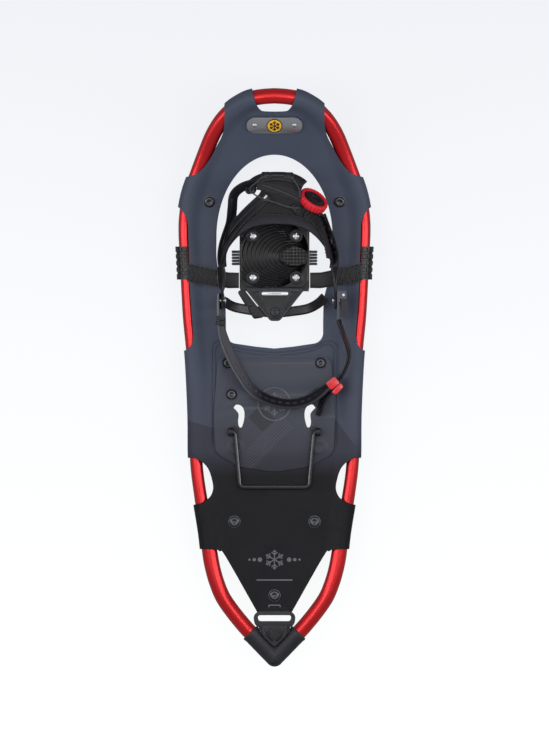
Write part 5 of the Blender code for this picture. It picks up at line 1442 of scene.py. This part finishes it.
def make_heel_strap():
    line = spline([(-58.7, 90.0, 66.0), (-58.6, 72.0, 66.0), (-54.5, 45.0, 63.0), (-44.0, 19.0, 60.0),
                   (-36.0, 5.0, 57.5), (-25.5, -10.5, 55.0), (-13.0, -20.0, 53.0), (1.0, -25.5, 52.0),
                   (17.0, -27.5, 52.0), (33.0, -24.5, 53.0), (46.5, -17.0, 55.0), (57.0, -8.8, 57.0)], 10)
    n = len(line) - 1

    def width(t):
        return 13.5 + 2.5 * min(1.0, t * 6)

    mesh = ribbon(line, width, 2.3, strap_lean, 0.7, across=8)
    holes = []
    for k in range(int(n * 0.30), int(n * 0.97), 5):
        q = along(line, k).normalized()
        f = strap_axes(line, k)[1].normalized()
        holes.append(strap_hole(line[k], (q, f.cross(q).normalized(), f), 2.1, 1.25, 1.2))
    mesh = boolean(mesh, [joined(holes)])
    finish_mesh(mesh, "strap_heel", HEELSTRAP, "heel_strap_set", 40, ("heel_strap",))
    trims = []
    for side in (-1, 1):
        for face in (-1, 1):
            run = []
            for k, p in enumerate(line):
                e, f = strap_axes(line, k)
                run.append(p + e * (side * (width(k / n) / 2 - 1.4)) + f * (face * 1.15))
            trims.append(rod(run, 0.55, 8))
    finish_mesh(joined(trims), "strap_trim", GREY, "heel_strap_set", 45)

    line = spline([(67.4, 62.0, 66.0), (73.0, 46.0, 65.0), (78.6, 30.0, 63.0), (78.0, 19.0, 61.5),
                   (72.5, 5.5, 59.5), (66.7, -1.2, 58.5)], 10)
    mesh = ribbon(line, 14.0, 2.2, 0.25, 0.6, across=8)
    finish_mesh(mesh, "strap_ladder", STRAP, "heel_strap_set", 40, ("ladder_strap",))
    teeth = []
    n = len(line) - 1
    for k in range(4, n - 6, 2):
        p = line[k]
        q = (line[k + 1] - line[k - 1]).normalized()
        out = Vector((q.y, -q.x, 0.0)).normalized()
        c = p - out * 1.35
        teeth.append(rod([c + Vector((0, 0, -4.2)), c + Vector((0, 0, 4.2))], 0.75, 8))
    finish_mesh(joined(teeth), "ladder_teeth", GREY, "heel_strap_set", 60)

    line = spline([(58.8, -14.3, 56.0), (53.5, -20.5, 54.5), (49.5, -29.0, 53.5), (46.0, -40.0, 53.0)], 10)
    mesh = ribbon(line, lambda t: 14.0 - 5.0 * max(0.0, t - 0.8) / 0.2, 2.2, -0.38, 0.6, across=8)
    holes = []
    n = len(line) - 1
    for k in range(5, n - 3, 5):
        q = (line[k + 1] - line[k - 1]).normalized()
        out = Vector((-q.y, q.x, 0.0)).normalized()
        holes.append(strap_hole(line[k], (q, out.cross(q).normalized(), out), 1.9, 1.2, 1.1))
    mesh = boolean(mesh, [joined(holes)])
    finish_mesh(mesh, "strap_free_end", STRAP, "heel_strap_set", 40, ("strap_tail",))

    # red slider with finger ribs, and its button
    body = plate([box(6.0, 4.6, 2.2, 5)], -9.5, 9.5, 1.2, 3)
    grooves = [plate([rounded([(x - 0.5, 4.0), (x + 0.5, 4.0), (x + 0.5, 6.0), (x - 0.5, 6.0)], 0.2, 2)],
               -6.5, 6.5)
               for x in (-2.6, 0.0, 2.6)]
    body = boolean(body, [joined(grooves)])
    body.transform(Matrix.Translation((0.0617, -0.0054, 0.0576)) @ Matrix.Rotation(radians(38), 4, "Z"))
    finish_mesh(body, "clip_slider", REDPLASTIC, "heel_strap_set", 45, ("strap_clip",))
    button = plate([rounded([(-7.5, -2.6), (7.5, -2.6), (5.0, 2.8), (-6.0, 2.8)], 2.0, 5)], -7.0, 7.0, 1.1, 3)
    grooves = [plate([[(x - 0.5, 2.3), (x + 0.5, 2.3), (x + 0.5, 4.0), (x - 0.5, 4.0)]], -5,
            5) for x in (-3, -1, 1, 3)]
    button = boolean(button, [joined(grooves)])
    button.transform(Matrix.Translation((0.0668, -0.0118, 0.0576)) @ Matrix.Rotation(radians(-132), 4, "Z"))
    finish_mesh(button, "clip_release", REDPLASTIC, "heel_strap_set", 45, ("clip_button",))

    outer = box(4.6, 11.0, 2.0, 4)
    inner = box(2.8, 9.2, 0.8, 3)
    loops = []
    for off in (-2.6, 2.6):
        m = plate([outer, inner], off - 2.0, off + 2.0, 0.7, 3)
        loops.append(m)
    keeper = joined(loops)
    keeper.transform(Matrix.Rotation(radians(90), 4, "X"))
    keeper.transform(Matrix.Translation((-0.057, 0.0605, 0.0647)) @ Matrix.Rotation(radians(-8), 4, "Z"))
    finish_mesh(keeper, "keeper_loops", RUBBER, "heel_strap_set", 45, ("strap_keeper",))


def carry(node, mat, bevel=0.4, segments=2):
    """Keeps a CAD node, gives it a material and softens its edges."""
    obj = NODES[node]
    for k in range(len(obj.material_slots)):
        obj.material_slots[k].material = mat
    if not obj.material_slots:
        obj.data.materials.append(mat)
    if bevel:
        soften(obj, bevel, segments)


def carry_nodes():
    for args in (("toe_crampon", CLAW, 0.5), ("heel_crampon", CLAW, 0.5), ("binding_chassis", BLACK, 0.6),
                 ("dial_spool", GREY, 0.2), ("side_buckle", BUCKLE, 0.5), ("buckle_lever", SATIN, 0.9, 3),
                 ("buckle_pin", STEEL, 0.3)):
        carry(*args)


def claw_details():
    """Ridges on the lugs of the toe claw that show beside the pad."""
    parts = []
    for s in (-1, 1):
        for k in range(5):
            y = 121.0 + 3.2 * k
            parts.append(rod([(s * 37.4, y, 46.9), (s * 43.6, y, 46.9), (s * 45.0, y, 46.0)], 0.95, 8))
    finish_mesh(joined(parts), "claw_ribs", SATIN, "binding", 45)


# ---------------------------------------------------------------- build
for step in (make_tube, make_deck, make_cap, make_rivets, make_badge, make_print, make_heel_plate, make_link,
             make_bail, make_straps, make_pad, make_tongue, make_cradle, make_wrap, make_dial, make_lace,
             make_wings, make_heel_strap, carry_nodes, claw_details):
    step()


# ---------------------------------------------------------------- stage
def stage():
    scene = bpy.context.scene
    scene.view_settings.view_transform = "Standard"
    scene.view_settings.look = "None"
    mesh = bpy.data.meshes.new("floor")
    s = FLOOR_HALF
    mesh.from_pydata([(-s, -s, -0.001), (s, -s, -0.001), (s, s, -0.001), (-s, s, -0.001)], [], [(0, 1, 2, 3)])
    floor = bpy.data.objects.new("floor", mesh)
    scene.collection.objects.link(floor)
    n = Nodes("floor_pale", 0.9)
    cloud = n.noise(1.2, 2.0)
    base = n.mix(cloud, (0.13, 0.13, 0.135), (0.15, 0.15, 0.155))
    n.tint(base)
    # bright to the eye, a weak reflector for the shoe above it
    y = n.axes()[1]
    tone = n.mix(n.ramp(y, 0.0, 1.0, -0.4, 0.4), (0.93, 0.955, 0.94), (0.762, 0.775, 0.815))
    n.link(tone, n.bsdf.inputs["Emission Color"])
    path = n.new("ShaderNodeLightPath")
    n.put(n.ramp(path.outputs["Is Camera Ray"], 0.25, 1.0, 0.0, 1.0), n.bsdf.inputs["Emission Strength"])
    n.set(Specular_IOR_Level=0.0)
    mesh.materials.append(n.mat)
    world = bpy.data.worlds.new("studio")
    scene.world = world
    world.use_nodes = True
    back = world.node_tree.nodes["Background"]
    back.inputs["Color"].default_value = (0.95, 0.97, 1.0, 1.0)
    back.inputs["Strength"].default_value = 0.26

    def softbox(name, loc, size, power, aim=(0.0, 0.0, 0.03)):
        light = bpy.data.lights.new(name, "AREA")
        light.shape = "RECTANGLE"
        light.size, light.size_y = size
        light.energy = power
        obj = bpy.data.objects.new(name, light)
        scene.collection.objects.link(obj)
        obj.location = loc
        obj.rotation_euler = (Vector(aim) - Vector(loc)).to_track_quat("-Z", "Y").to_euler()
        obj.visible_camera = False
        return obj

    softbox("left_strip", (-1.15, 0.1, 1.25), (0.35, 2.2), 11.0)
    softbox("right_strip", (1.15, 0.1, 1.25), (0.35, 2.2), 11.0)
    softbox("top_soft", (0.0, 0.5, 1.9), (1.6, 1.2), 7.0)
    cam_data = bpy.data.cameras.new("camera")
    cam = bpy.data.objects.new("camera", cam_data)
    scene.collection.objects.link(cam)
    cam_data.sensor_width = 36.0
    cam_data.lens = 36.0 * CAMERA_DISTANCE / VIEW_HEIGHT
    cam.location = (0.0, 0.0123, 0.045 + CAMERA_DISTANCE)
    cam_data.clip_end = 100.0
    scene.camera = cam


stage()
